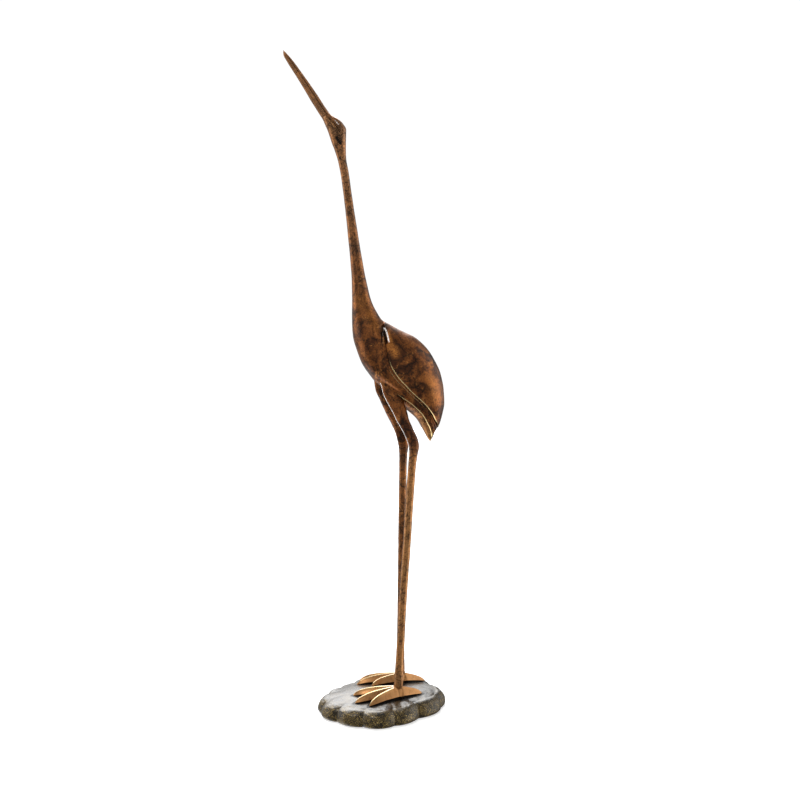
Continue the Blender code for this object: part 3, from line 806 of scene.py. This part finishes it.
@dataclass
class Leg:
    """One leg, from inside the body to just above the sole.

    The waves of the cast surface are (share of the leg's thickness, length). Each mark comes up
    between two heights in shares, and shows so much on the near leg and on the far leg: the painted
    white highlight on the ridge, the warm tone with painted light, and the painted shade at the thigh's
    top.
    """

    sizes: Sizes
    far: bool
    rings_per_row: int = 6
    sides: int = 40
    waves: tuple[Pair, ...] = ((0.045, 0.016), (0.02, 0.005))
    ridge_width: float = 0.22
    ridge_lift: float = 0.0006
    ridge_heights: Pair = (352.0, 372.0)
    ridge_shown: Pair = (1.0, 0.35)
    warm_and_light_heights: Pair = (400.0, 330.0)
    warm_and_light_shown: Pair = (0.70, 0.25)
    shade_heights: Pair = (360.0, 400.0)
    shade_shown: Pair = (0.22, 0.0)

    def on_sides(self, strength: np.ndarray) -> np.ndarray:
        """Spread a strength for each ring over the sides, with nothing on the closed ends."""
        return np.pad(np.repeat(strength[:, None], self.sides + 1, 1), ((1, 1), (0, 0)))

    def skin(self) -> Skin:
        """The leg's skin, closed at both ends, with the ridge down its front and its painted white
        highlight.

        Returns:
            The skin with its marks.
        """
        rows = np.array(LEG_ROWS, float)
        numbers = np.arange(len(rows), dtype=float)
        places = np.linspace(0.0, len(rows) - 1.0, (len(rows) - 1) * self.rings_per_row + 1)
        height, near_x, far_x, out, depth, width = smooth_curve(numbers, rows.T, places)
        side = 1.0 if self.far else -1.0
        radius = self.sizes.shin_diameter / 2.0
        turn = math.tau * np.arange(self.sides + 1) / self.sides
        middle_x = self.sizes.share(far_x if self.far else near_x)
        middle_y = side * self.sizes.leg_spacing / 2.0 * out
        x = middle_x[:, None] - depth[:, None] * radius * np.cos(turn)[None, :]
        y = middle_y[:, None] + width[:, None] * radius * np.sin(turn)[None, :]
        z = np.repeat((self.sizes.dome_height + self.sizes.share(height))[:, None], len(turn), axis=1)
        grid = np.stack([x, y, z], axis=2)
        centre = np.stack([middle_x, middle_y, z[:, 0]], axis=1)
        for ring in range(grid.shape[0]):
            for column in range(self.sides):
                place = Vector(grid[ring, column])
                push = sum((share * cast_wave(place, length) for share, length in self.waves), 1.0)
                grid[ring, column] = centre[ring] + (grid[ring, column] - centre[ring]) * push
            grid[ring, self.sides] = grid[ring, 0]
        front = np.abs((turn + math.pi) % math.tau - math.pi)
        ridge = bell(front, self.ridge_width)[None, :] * ramp(height, *self.ridge_heights)[:, None]
        grid[:, :, 0] -= self.ridge_lift * ridge
        skin = Skin(np.concatenate([centre[:1, None].repeat(len(turn), 1), grid,
                                    centre[-1:, None].repeat(len(turn), 1)]))
        shown = 1 if self.far else 0
        # Painted white highlight along the front ridge, stronger on the near leg
        skin.mark(Mark.PAINTED_WHITE_HIGHLIGHT, np.pad(ridge, ((1, 1), (0, 0))) * self.ridge_shown[shown])
        # Warm tone with painted light lower down, stronger on the near leg
        warm_and_painted_light = self.on_sides(ramp(height, *self.warm_and_light_heights))
        skin.mark(Mark.WARM_AND_PAINTED_LIGHT, self.warm_and_light_shown[shown] * warm_and_painted_light)
        # Painted shade at the top of the thigh under the body, on the near leg only
        shade = self.on_sides(ramp(height, *self.shade_heights))
        skin.mark(Mark.PAINTED_SHADE, self.shade_shown[shown] * shade)
        return skin


@dataclass
class Toe:
    """One toe: a roof-shaped blade with a polished ridge that curves down at its tip.

    The polish grows over a stretch of the toe's length. It turns the ridge to gold, while the
    painted white highlight of its crest fades. A hind toe has less gold and no painted highlight. The
    contact values, in metres, say how far from the toe and how high up the base gets painted contact
    shadow.
    """

    sizes: Sizes
    dome: Dome
    ankle: Vector
    heading: float
    length: float
    ridge_fall: float
    width: float = 0.0145
    height: float = 0.0125
    ankle_height: float = 0.018
    start: float = 0.007
    root: float = 1.4
    root_reach: float = 0.6
    tip_curve: float = 0.6
    end_lift: float = 0.1
    rings: int = 34
    polish_start: float = 0.22
    polish_span: float = 0.3
    least_gilt: float = 0.5
    hind_gilt: float = 0.35
    crest: float = 0.99
    crest_start: float = 0.05
    crest_fade: float = 0.4
    shadow_below: float = 0.23
    contact_gap: Pair = (0.0032, 0.0062)
    contact_height: Pair = (0.012, 0.016)

    def reach(self, ring: int) -> float:
        """How far along the toe a ring lies: 0 at the start, 1 at the tip."""
        return math.sin(math.radians(90.0) * max(ring - 1, 0) / (self.rings - 1))

    def fall(self, reach: float | np.ndarray) -> float | np.ndarray:
        """The height and width that are left at a share of the toe's length."""
        return (1.0 - reach ** self.ridge_fall) ** self.tip_curve

    def swell(self, reach: float | np.ndarray) -> float | np.ndarray:
        """How much wider the toe is at a share of its length, because of its root."""
        return 1.0 + (self.root - 1.0) * np.maximum(1.0 - reach / self.root_reach, 0.0)

    def skin(self) -> Skin:
        """The blade's skin, with its ridge, sides and dark foot marked.

        Returns:
            The skin, ring by ring from the ankle to the tip.
        """
        section = TOE_SECTION + [(-across, up) for across, up in reversed(TOE_SECTION[:-1])]
        forward = Vector((math.cos(self.heading), math.sin(self.heading), 0.0))
        sideways = Vector((-forward.y, forward.x, 0.0))
        skin = Skin(np.zeros((self.rings + 1, len(section), 3)))
        for ring in range(self.rings + 1):
            reach = self.reach(ring)
            height = self.height + (self.ankle_height - self.height) * (1.0 - reach) ** 2
            ahead = (self.length + self.start) * reach - self.start
            for number, (across, up) in enumerate(section):
                rise = up * height * self.fall(reach)
                aside = across * self.width / 2.0 * self.swell(reach) * self.fall(reach)
                if ring in (0, self.rings):
                    rise = self.height * self.end_lift
                    aside = 0.0
                place = self.ankle + forward * ahead + sideways * aside
                ground = self.dome.height_at(place.x, place.y)
                skin.places[ring, number] = (place.x, place.y, ground + rise)
        self.mark_gilt_and_painted_light(skin, np.array([up for _, up in section]))
        return skin

    def mark_gilt_and_painted_light(self, skin: Skin, heights: np.ndarray) -> None:
        """Mark the gilded ridge, the painted white highlight of its crest, the copper sides and the painted
        shadow along the foot.

        Args:
            skin: the toe's skin, which is marked.
            heights: the height of each point of the cross-section, as a share.
        """
        reach = np.array([self.reach(ring) for ring in range(self.rings + 1)])
        polished = np.clip((reach - self.polish_start) / self.polish_span, 0.0, 1.0)
        ridge = [next((gilt for least, gilt in RIDGE_GILT if up > least), 0.0) for up in heights]
        crest = np.where(heights > self.crest, 1.0, 0.0)
        hind = math.cos(self.heading) > 0.0
        gilt = np.outer(self.least_gilt + (1.0 - self.least_gilt) * polished, ridge)
        # Painted white highlight along the crest of a front toe
        painted_white_highlight = np.outer((1.0 - self.crest_fade * polished) * (reach > self.crest_start), crest)
        # Painted shadow along the lowest band of the blade, where it meets the base
        dark = np.where(heights < self.shadow_below, 1.0, 0.0)
        skin.mark(Mark.GILT, gilt * (self.hind_gilt if hind else 1.0))
        skin.mark(Mark.PAINTED_WHITE_HIGHLIGHT, painted_white_highlight * (0.0 if hind else 1.0))
        skin.mark(Mark.PAINTED_SHADE, np.tile(dark, (len(reach), 1)))
        skin.mark(Mark.WARM_AND_PAINTED_LIGHT, np.ones(skin.places.shape[:2]))

    def contact(self, places: np.ndarray) -> np.ndarray:
        """How close points of the base are to this toe: 1 under it, 0 a few millimetres off.

        Args:
            places: points of the base.

        Returns:
            The closeness of each point.
        """
        offset = places[:, :2] - np.array((self.ankle.x, self.ankle.y))
        ahead = offset @ (math.cos(self.heading), math.sin(self.heading))
        aside = np.abs(offset @ (-math.sin(self.heading), math.cos(self.heading)))
        reach = np.clip((ahead + self.start) / (self.length + self.start), 0.0, 1.0)
        past = np.maximum(np.maximum(ahead - self.length, -self.start - ahead), 0.0)
        half_width = self.width / 2.0 * self.swell(reach) * self.fall(reach)
        gap = np.hypot(np.maximum(aside - half_width, 0.0), past)
        return (1.0 - ramp(gap, *self.contact_gap)) * ramp(places[:, 2], *self.contact_height)


class Surface(Enum):
    """The named finishes of the statue."""

    COPPER = "crane_metal"
    IRON = "base_metal"


class Nodes:
    """A short way to add and join nodes of one tree."""

    def __init__(self, tree: bpy.types.NodeTree, clamped: bool) -> None:
        """Work on a tree of nodes.

        Args:
            tree: the tree.
            clamped: whether sums and products are kept within 0 and 1.
        """
        self.tree = tree
        self.clamped = clamped

    def add(self, kind: str, inputs: Inputs | None = None, **settings: object) -> bpy.types.Node:
        """Add a node, set its properties and fill its inputs.

        Args:
            kind: the kind of node.
            inputs: what goes into which input.
            settings: the properties to set.

        Returns:
            The new node.
        """
        node = self.tree.nodes.new(kind)
        for key, value in settings.items():
            setattr(node, key, value)
        self.fill(node, inputs or {})
        return node

    def fill(self, node: bpy.types.Node, inputs: Inputs) -> None:
        """Join a node's inputs to other nodes or set them to plain values.

        Args:
            node: the node.
            inputs: what goes into which input, by the input's name or number.
        """
        for name, value in inputs.items():
            if isinstance(value, Socket):
                self.tree.links.new(value, node.inputs[name])
            else:
                node.inputs[name].default_value = value

    def grade(self, value: Socket, low: float, high: float,
              start: float = 0.0, end: float = 1.0) -> Socket:
        """Map low..high smoothly to start..end.

        Args:
            value: the value to map.
            low: where the change begins.
            high: where it ends.
            start: the result up to low.
            end: the result from high on.

        Returns:
            The mapped value.
        """
        inputs = {"Value": value, "From Min": low, "From Max": high, "To Min": start, "To Max": end}
        return self.add("ShaderNodeMapRange", inputs, interpolation_type="SMOOTHSTEP").outputs["Result"]

    def math(self, operation: str, first: Socket, second: Socket | float) -> Socket:
        """A sum, product or other operation of two values.

        Args:
            operation: the kind of operation.
            first: the first value.
            second: the second value or a plain number.

        Returns:
            The result.
        """
        node = self.add("ShaderNodeMath", {0: first, 1: second}, operation=operation,
                        use_clamp=self.clamped)
        return node.outputs[0]

    def times(self, first: Socket, *others: Socket | float) -> Socket:
        """The product of several values.

        Args:
            first: the first value.
            others: the values or plain numbers that it is multiplied by.

        Returns:
            The product.
        """
        for other in others:
            first = self.math("MULTIPLY", first, other)
        return first


class NodeSheet(Nodes):
    """The nodes of one material."""

    def __init__(self, name: str) -> None:
        """Start a material with its own Principled shader.

        Args:
            name: the material's name.
        """
        self.material = bpy.data.materials.new(name)
        self.material.use_nodes = True
        super().__init__(self.material.node_tree, clamped=True)
        self.shader = self.tree.nodes["Principled BSDF"]
        self.place = self.add("ShaderNodeTexCoord").outputs["Object"]

    def above_floor(self) -> Socket:
        """The height above the floor of the place that is shaded, in metres."""
        return self.add("ShaderNodeSeparateXYZ", {"Vector": self.place}).outputs["Z"]

    def noise(self, scale: float, detail: float, rough: float, bent: float = 0.0,
              stretch: Triple = (1.0, 1.0, 1.0)) -> Socket:
        """A noise pattern in object space, stretched along the axes.

        Args:
            scale: the pattern's fineness.
            detail: how many finer layers it has.
            rough: how strong the finer layers are.
            bent: how much it is swirled.
            stretch: the fineness along each axis.

        Returns:
            The pattern's value.
        """
        mapping = self.add("ShaderNodeMapping", {"Vector": self.place, "Scale": stretch})
        node = self.add("ShaderNodeTexNoise", {
            "Vector": mapping.outputs["Vector"], "Scale": scale, "Detail": detail,
            "Roughness": rough, "Distortion": bent})
        return node.outputs["Fac"]

    def cells(self, scale: float) -> Socket:
        """The distance to the nearest edge of a cell pattern in object space."""
        inputs = {"Vector": self.place, "Scale": scale}
        return self.add("ShaderNodeTexVoronoi", inputs, feature="DISTANCE_TO_EDGE").outputs["Distance"]

    def mark(self, mark: Mark) -> Socket:
        """The value of a mark of the mesh."""
        return self.add("ShaderNodeAttribute", attribute_name=mark.value).outputs["Fac"]

    def blend(self, amount: Socket, under: Socket | Triple, over: Socket | Triple) -> Socket:
        """Mix two colours by an amount.

        Args:
            amount: how much of the upper colour shows.
            under: the lower colour.
            over: the upper colour.

        Returns:
            The mixed colour.
        """
        colours = [(*colour, 1.0) if isinstance(colour, tuple) else colour for colour in (under, over)]
        inputs = {"Factor": amount, 6: colours[0], 7: colours[1]}
        return self.add("ShaderNodeMix", inputs, data_type="RGBA").outputs[2]

    def bump(self, height: Socket, depth: float) -> None:
        """Give the surface fine relief.

        Args:
            height: the relief's height, from 0 to 1.
            depth: the height in metres that 1 stands for.
        """
        node = self.add("ShaderNodeBump", {"Strength": 1.0, "Distance": depth, "Height": height})
        self.fill(self.shader, {"Normal": node.outputs["Normal"]})


@dataclass(frozen=True)
class Patterns:
    """The patterns of the patina, from broad to fine, and how rough it is: near 0 if smooth."""

    clouds: Socket
    patches: Socket
    streaks: Socket
    grain: Socket
    rough: Socket


@dataclass(frozen=True)
class CopperPatina:
    """Mottled brown patina over copper-coloured metal, rubbed bright on the edges, with painted highlights,
    light and shade where the mesh is marked.

    The finenesses belong to its patterns, and the heights, in metres above the floor, are where
    the bill gets cleaner, the neck paler and the legs less stained.
    """

    copper: Triple = (0.300, 0.099, 0.023)
    bright: Triple = (0.490, 0.188, 0.048)
    umber: Triple = (0.088, 0.027, 0.009)
    # Black for the cracks, blots and specks, and for the painted shade
    black: Triple = (0.016, 0.009, 0.005)
    # Warm tone of the feet, also painted light on the legs, head and tail
    warm_and_painted_light: Triple = (0.580, 0.285, 0.105)
    pale: Triple = (0.600, 0.320, 0.150)
    # Painted orange highlight
    glow: Triple = (1.000, 0.370, 0.075)
    gold: Triple = (0.80, 0.59, 0.28)
    # Painted white highlight
    painted_white_highlight: Triple = (0.97, 0.95, 0.92)
    cloud_fineness: float = 30.0
    patch_fineness: float = 70.0
    streak_fineness: float = 95.0
    streak_stretch: Triple = (1.3, 1.3, 0.6)
    grain_fineness: float = 380.0
    crack_fineness: float = 85.0
    spread_fineness: float = 17.0
    bill_heights: Pair = (0.950, 0.990)
    neck_heights: Pair = (0.60, 0.92)
    leg_heights: Pair = (0.52, 0.42)
    metal: float = 0.80
    # Less metallic where the painted white highlight lies, so that it reads white
    highlight_metal: float = 0.15
    lacquer: float = 0.12
    lacquer_roughness: float = 0.22
    relief_depth: float = 0.0007

    def material(self) -> bpy.types.Material:
        """Build the material.

        Returns:
            The finished material.
        """
        sheet = NodeSheet(Surface.COPPER.value + "_patina")
        marked = Patterns(
            clouds=sheet.noise(self.cloud_fineness, 5.0, 0.62, 1.0),
            patches=sheet.noise(self.patch_fineness, 6.0, 0.70, 0.5),
            streaks=sheet.noise(self.streak_fineness, 6.0, 0.72, 0.3, self.streak_stretch),
            grain=sheet.noise(self.grain_fineness, 4.0, 0.65),
            rough=sheet.grade(sheet.mark(Mark.WARM_AND_PAINTED_LIGHT), 0.6, 0.95, 1.0, 0.06))
        colour = self.stained(sheet, marked, self.ground(sheet, marked))
        painted_shade = sheet.mark(Mark.PAINTED_SHADE)
        gilt = sheet.times(sheet.mark(Mark.GILT), sheet.grade(marked.grain, 0.30, 0.45, 0.85, 1.0))
        painted_white_highlight = sheet.times(sheet.mark(Mark.PAINTED_WHITE_HIGHLIGHT), sheet.grade(marked.grain, 0.36, 0.54, 0.60, 1.0))
        # Painted shade turns the colour black, then come the rubbed gold and the painted white highlight
        colour = sheet.blend(sheet.grade(painted_shade, 0.15, 0.85), colour, self.black)
        colour = sheet.blend(sheet.grade(gilt, 0.30, 0.62), colour, self.gold)
        colour = sheet.blend(sheet.grade(painted_white_highlight, 0.30, 0.65), colour, self.painted_white_highlight)
        rough = sheet.grade(marked.patches, 0.3, 0.7, 0.28, 0.44)
        rough = sheet.math("ADD", rough, sheet.times(painted_shade, 0.2))
        rough = sheet.math("SUBTRACT", rough, sheet.times(gilt, 0.12))
        sheet.fill(sheet.shader, {
            "Base Color": colour, "Roughness": rough, "Coat Weight": self.lacquer,
            "Metallic": sheet.grade(painted_white_highlight, 0.30, 0.65, self.metal, self.highlight_metal),
            "Coat Roughness": self.lacquer_roughness})
        relief = sheet.math("ADD", sheet.times(marked.grain, 0.35), sheet.times(marked.patches, 0.6))
        sheet.bump(sheet.times(relief, marked.rough), self.relief_depth)
        return sheet.material

    def ground(self, sheet: NodeSheet, marked: Patterns) -> Socket:
        """The metal's colour: copper clouds on umber, paler up the neck, warm on the feet, and painted
        light on the legs, head and tail.

        Args:
            sheet: the material's nodes.
            marked: its patterns.

        Returns:
            The colour.
        """
        colour = sheet.blend(sheet.grade(marked.clouds, 0.40, 0.60), self.umber, self.copper)
        colour = sheet.blend(sheet.grade(marked.patches, 0.52, 0.66), colour, self.bright)
        neck = sheet.grade(sheet.above_floor(), *self.neck_heights, 0.0, 0.36)
        colour = sheet.blend(neck, colour, self.pale)
        warmed = sheet.times(sheet.mark(Mark.WARM_AND_PAINTED_LIGHT), sheet.grade(marked.streaks, 0.30, 0.56, 0.5, 1.0))
        return sheet.blend(warmed, colour, self.warm_and_painted_light)

    def stained(self, sheet: NodeSheet, marked: Patterns, colour: Socket) -> Socket:
        """Dark cracks, blots and specks, and patches of painted orange highlight.

        Args:
            sheet: the material's nodes.
            marked: its patterns.
            colour: the metal's own colour.

        Returns:
            The stained colour.
        """
        height = sheet.above_floor()
        bill = sheet.grade(height, *self.bill_heights, 1.0, 0.12)
        veins = sheet.grade(sheet.cells(self.crack_fineness), 0.11, 0.0, 0.0, 0.75)
        cracks = sheet.times(veins, sheet.grade(marked.clouds, 0.55, 0.45), bill, marked.rough)
        colour = sheet.blend(cracks, colour, self.black)
        fewer = sheet.grade(height, *self.leg_heights, 0.0, -0.012)
        streaks = sheet.grade(sheet.math("ADD", marked.streaks, fewer), 0.51, 0.62, 0.0, 0.92)
        spread = sheet.grade(sheet.noise(self.spread_fineness, 2.0, 0.5), 0.40, 0.62, 0.35, 1.0)
        colour = sheet.blend(sheet.times(streaks, marked.rough, spread, bill), colour, self.black)
        broken = sheet.times(sheet.grade(marked.grain, 0.42, 0.56, 0.20, 1.0),
                             sheet.grade(marked.patches, 0.32, 0.50, 0.55, 1.0))
        # Patches of painted orange highlight, broken up by the grain and the patches
        colour = sheet.blend(sheet.times(sheet.mark(Mark.GLOW), broken), colour, self.glow)
        specks = sheet.grade(marked.grain, 0.50, 0.60, 0.0, 0.60)
        return sheet.blend(sheet.times(specks, marked.rough, bill), colour, self.black)


@dataclass(frozen=True)
class SpeckledIron:
    """Dark olive-brown glossy metal with fine gold speckles.

    Up the rim the speckles fade and the gloss grows, each between two heights in metres.
    """

    dark: Triple = (0.012, 0.009, 0.005)
    olive: Triple = (0.052, 0.034, 0.012)
    gold: Triple = (0.46, 0.32, 0.10)
    # Near-black colour of the painted contact shadow round the feet
    painted_shade: Triple = (0.008, 0.007, 0.006)
    cloud_fineness: float = 75.0
    fleck_fineness: float = 720.0
    grain_fineness: float = 850.0
    fleck_heights: Pair = (0.019, 0.026)
    gloss_heights: Pair = (0.013, 0.025)
    metal: float = 0.35
    reflection: float = 0.25
    gloss_roughness: float = 0.22
    gloss_index: float = 1.5
    relief_depth: float = 0.0011

    def material(self) -> bpy.types.Material:
        """Build the material.

        Returns:
            The finished material.
        """
        sheet = NodeSheet(Surface.IRON.value + "_speckled")
        clouds = sheet.noise(self.cloud_fineness, 6.0, 0.65, 0.5)
        grain = sheet.noise(self.grain_fineness, 3.0, 0.6)
        flecks = sheet.noise(self.fleck_fineness, 3.0, 0.7)
        height = sheet.above_floor()
        colour = sheet.blend(sheet.grade(clouds, 0.40, 0.60), self.dark, self.olive)
        flecks = sheet.times(sheet.grade(flecks, 0.54, 0.63), sheet.grade(clouds, 0.34, 0.52, 0.30, 1.0),
                             sheet.grade(height, *self.fleck_heights, 1.0, 0.08))
        colour = sheet.blend(flecks, colour, self.gold)
        # The painted contact shadow darkens the colour and takes away most of the gloss
        painted_shade = sheet.mark(Mark.PAINTED_SHADE)
        gloss = sheet.times(sheet.grade(painted_shade, 0.1, 0.9, 1.0, 0.15),
                            sheet.grade(height, *self.gloss_heights, 0.30, 1.0))
        sheet.fill(sheet.shader, {
            "Base Color": sheet.blend(painted_shade, colour, self.painted_shade), "Metallic": self.metal,
            "Roughness": sheet.grade(grain, 0.35, 0.7, 0.26, 0.42),
            "Specular IOR Level": self.reflection, "Coat Weight": gloss,
            "Coat Roughness": self.gloss_roughness, "Coat IOR": self.gloss_index})
        relief = sheet.math("ADD", sheet.times(grain, 0.3), sheet.times(clouds, 0.7))
        sheet.bump(relief, self.relief_depth)
        return sheet.material


@dataclass
class Statue:
    """The crane and its base, made fine and dressed."""

    sizes: Sizes
    dome: Dome = field(init=False)

    def __post_init__(self) -> None:
        """The base's form is needed for the feet too."""
        self.dome = Dome(self.sizes)

    def toes(self) -> list[Toe]:
        """All eight toes.

        Returns:
            The near foot's toes, then the far foot's.
        """
        toes = []
        for far in (False, True):
            leg = LEG_ROWS[-1]
            x = self.sizes.share(leg[2] if far else leg[1])
            y = (1.0 if far else -1.0) * self.sizes.leg_spacing / 2.0
            for turn, length, fall in FAR_TOES if far else NEAR_TOES:
                heading = math.pi + math.radians(turn)
                toes.append(Toe(self.sizes, self.dome, Vector((x, y, 0.0)), heading, length, fall))
        return toes

    def limbs(self) -> list[Skin]:
        """Both legs and all eight toes."""
        legs = [Leg(self.sizes, far).skin() for far in (False, True)]
        return legs + [toe.skin() for toe in self.toes()]

    def make_crane(self) -> bpy.types.Object:
        """Join the fine skins into one closed casting and dress it.

        Returns:
            The finished crane.
        """
        body = BodySkin(self.sizes).skin()
        limbs = self.limbs()
        crane = add_object("crane_casting", body.to_bmesh())
        helpers = bpy.data.collections.new("fine_limbs")
        bpy.context.scene.collection.children.link(helpers)
        made = []
        for number, skin in enumerate(limbs):
            limb = add_object(f"fine_limb_{number}", skin.to_bmesh())
            bpy.context.scene.collection.objects.unlink(limb)
            helpers.objects.link(limb)
            made.append(limb)
        ground = self.dome.skin().to_bmesh()
        bmesh.ops.translate(ground, verts=ground.verts, vec=(0.0, 0.0, PART_GAP))
        raised = add_object("raised_base", ground)
        join = crane.modifiers.new("join", "BOOLEAN")
        join.operation = "UNION"
        join.solver = "EXACT"
        join.operand_type = "COLLECTION"
        join.collection = helpers
        cut = crane.modifiers.new("cut", "BOOLEAN")
        cut.operation = "DIFFERENCE"
        cut.solver = "EXACT"
        cut.object = raised
        self.settle(crane)
        MarkMemory([body, *limbs]).write(crane.data)
        for thing in made + [raised]:
            drop_object(thing)
        bpy.data.collections.remove(helpers)
        self.dress(crane, "crane", Surface.COPPER, CopperPatina().material())
        return crane

    def make_base(self) -> bpy.types.Object:
        """Make the fine scalloped base, with painted contact shadow round the feet, and dress it.

        Returns:
            The finished base.
        """
        base = add_object("scalloped_base", self.dome.skin().to_bmesh())
        places = np.array([tuple(corner.co) for corner in base.data.vertices])
        # Painted contact shadow on the base round the toes
        shade = np.max([toe.contact(places) for toe in self.toes()], axis=0)
        layer = base.data.attributes.new(Mark.PAINTED_SHADE.value, "FLOAT", "POINT")
        layer.data.foreach_set("value", shade.astype(np.float32))
        self.dress(base, "base", Surface.IRON, SpeckledIron().material())
        return base

    @staticmethod
    def settle(thing: bpy.types.Object) -> None:
        """Replace an object's mesh by what its modifiers make of it.

        Args:
            thing: the object.
        """
        graph = bpy.context.evaluated_depsgraph_get()
        graph.update()
        before = thing.data
        mesh = bpy.data.meshes.new_from_object(thing.evaluated_get(graph))
        thing.modifiers.clear()
        thing.data = mesh
        mesh.name = thing.name
        bpy.data.meshes.remove(before)

    @staticmethod
    def dress(thing: bpy.types.Object, node: str, surface: Surface, material: bpy.types.Material) -> None:
        """Shade a piece, give it its finish and put it in its node's place.

        Args:
            thing: the piece.
            node: the name of the solid that it stands for.
            surface: not used.
            material: its finish.
        """
        thing.data.shade_smooth()
        thing.data.set_sharp_from_angle(angle=SHARP_ANGLE)
        thing.data.materials.clear()
        thing.data.materials.append(material)
        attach(thing, "root")
        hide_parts(node)
        log.info("%s stands for %s with %d faces", thing.name, node, len(thing.data.polygons))


@dataclass(frozen=True)
class SoftLight:
    """A soft round patch of light far off: where it stands, its edge in degrees, its strength."""

    toward: Triple
    inner: float
    outer: float
    strength: float


@dataclass
class Studio:
    """A white floor, soft light all round and the photograph's camera.

    The light comes from a dark room, a white paper that glows more the higher it is, and soft
    lights. The pairs are where each part of the paper or of the walls begins and ends, as shares
    of the direction towards it: its rise, its sides, its top and how far it is behind.
    """

    floor_size: float = 30.0
    camera_place: Triple = (-0.188, -1.4676, 0.513)
    camera_turn: float = math.radians(-8.5)
    focal_pixels: float = 889.0
    picture_pixels: float = 800.0
    sensor: float = 36.0
    floor_white: float = 0.94
    floor_roughness: float = 0.9
    floor_glow: float = 0.50
    backdrop: float = 1.05
    room: float = 0.20
    below: float = 0.16
    walls: Pair = (-0.30, 0.0)
    paper_low: float = 0.36
    paper_high: float = 5.6
    paper_rise: Pair = (0.05, 0.78)
    paper_middle: float = -0.16
    paper_edge: Pair = (0.60, 0.36)
    paper_top: Pair = (0.97, 0.80)
    paper_behind: Pair = (0.0, 0.3)
    lights: tuple[SoftLight, ...] = (
        SoftLight((-1.0, 0.20, 0.15), 10.0, 32.0, 1.6),
        SoftLight((1.0, 0.02, 0.18), 14.0, 46.0, 1.2),
        SoftLight((-0.55, -0.6, 1.1), 5.0, 13.0, 4.5),
        SoftLight((0.1, 0.1, 1.0), 4.0, 16.0, 2.0),
        SoftLight((-0.25, -1.0, 0.30), 12.0, 60.0, 0.20),
        SoftLight((0.9, -0.22, -0.20), 10.0, 36.0, 1.0),
        SoftLight((-0.42, 0.42, -0.80), 10.0, 34.0, 1.9),
    )

    def make_floor(self) -> None:
        """A plain pale floor at the height of the base's underside."""
        shape = bmesh.new()
        bmesh.ops.create_grid(shape, x_segments=2, y_segments=2, size=self.floor_size / 2.0)
        floor = add_object("floor", shape)
        sheet = NodeSheet("floor_white")
        sheet.fill(sheet.shader, {
            "Base Color": (*[self.floor_white] * 3, 1.0), "Roughness": self.floor_roughness,
            "Emission Color": WHITE, "Emission Strength": self.floor_glow})
        floor.data.materials.append(sheet.material)
        floor.visible_glossy = False

    def make_surroundings(self) -> None:
        """White paper behind the statue, a dark room and a few soft lights round it."""
        world = bpy.data.worlds.new("studio")
        bpy.context.scene.world = world
        world.use_nodes = True
        nodes = Nodes(world.node_tree, clamped=False)
        direction = nodes.add("ShaderNodeTexCoord").outputs["Generated"]
        across, back, up = nodes.add("ShaderNodeSeparateXYZ", {"Vector": direction}).outputs
        off_middle = nodes.math("ABSOLUTE", nodes.math("SUBTRACT", across, self.paper_middle), 0.0)
        rise = nodes.grade(up, *self.paper_rise, 0.0, self.paper_high - self.paper_low)
        total = nodes.times(nodes.grade(off_middle, *self.paper_edge), nodes.grade(up, *self.paper_top),
                            nodes.grade(back, *self.paper_behind),
                            nodes.math("ADD", rise, self.paper_low))
        for light in self.lights:
            toward = Vector(light.toward).normalized()
            facing = nodes.add("ShaderNodeVectorMath", {0: direction, 1: toward},
                               operation="DOT_PRODUCT")
            edges = [math.cos(math.radians(edge)) for edge in (light.outer, light.inner)]
            glow = nodes.grade(facing.outputs["Value"], *edges, 0.0, light.strength)
            total = nodes.math("ADD", total, glow)
        walls = nodes.grade(up, *self.walls, 0.0, self.room - self.below)
        total = nodes.math("ADD", nodes.math("ADD", total, walls), self.below)
        camera_ray = nodes.add("ShaderNodeLightPath").outputs["Is Camera Ray"]
        seen = nodes.add("ShaderNodeMix", {"Factor": camera_ray, 2: total, 3: self.backdrop},
                         data_type="FLOAT")
        nodes.fill(nodes.tree.nodes["Background"], {"Strength": seen.outputs[0], "Color": WHITE})

    def make_camera(self) -> None:
        """The camera stands where the photograph was taken from."""
        lens = bpy.data.cameras.new("camera")
        lens.sensor_width = self.sensor
        lens.lens = self.focal_pixels / self.picture_pixels * self.sensor
        lens.clip_start = 0.01
        lens.clip_end = 100.0
        camera = bpy.data.objects.new("camera", lens)
        bpy.context.scene.collection.objects.link(camera)
        camera.matrix_world = (Matrix.Translation(self.camera_place)
                               @ Matrix.Rotation(self.camera_turn, 4, "Z")
                               @ Matrix.Rotation(math.radians(90.0), 4, "X"))
        bpy.context.scene.camera = camera

    def build(self) -> None:
        """Set up the whole studio."""
        self.make_floor()
        self.make_surroundings()
        self.make_camera()
        bpy.context.scene.view_settings.view_transform = "Standard"


def main() -> None:
    """Build the statue, then the studio round it."""
    logging.basicConfig(level=logging.INFO, format="%(name)s: %(message)s")
    statue = Statue(Sizes.from_frame())
    statue.make_base()
    statue.make_crane()
    Studio().build()


if __name__ == "__main__":
    main()
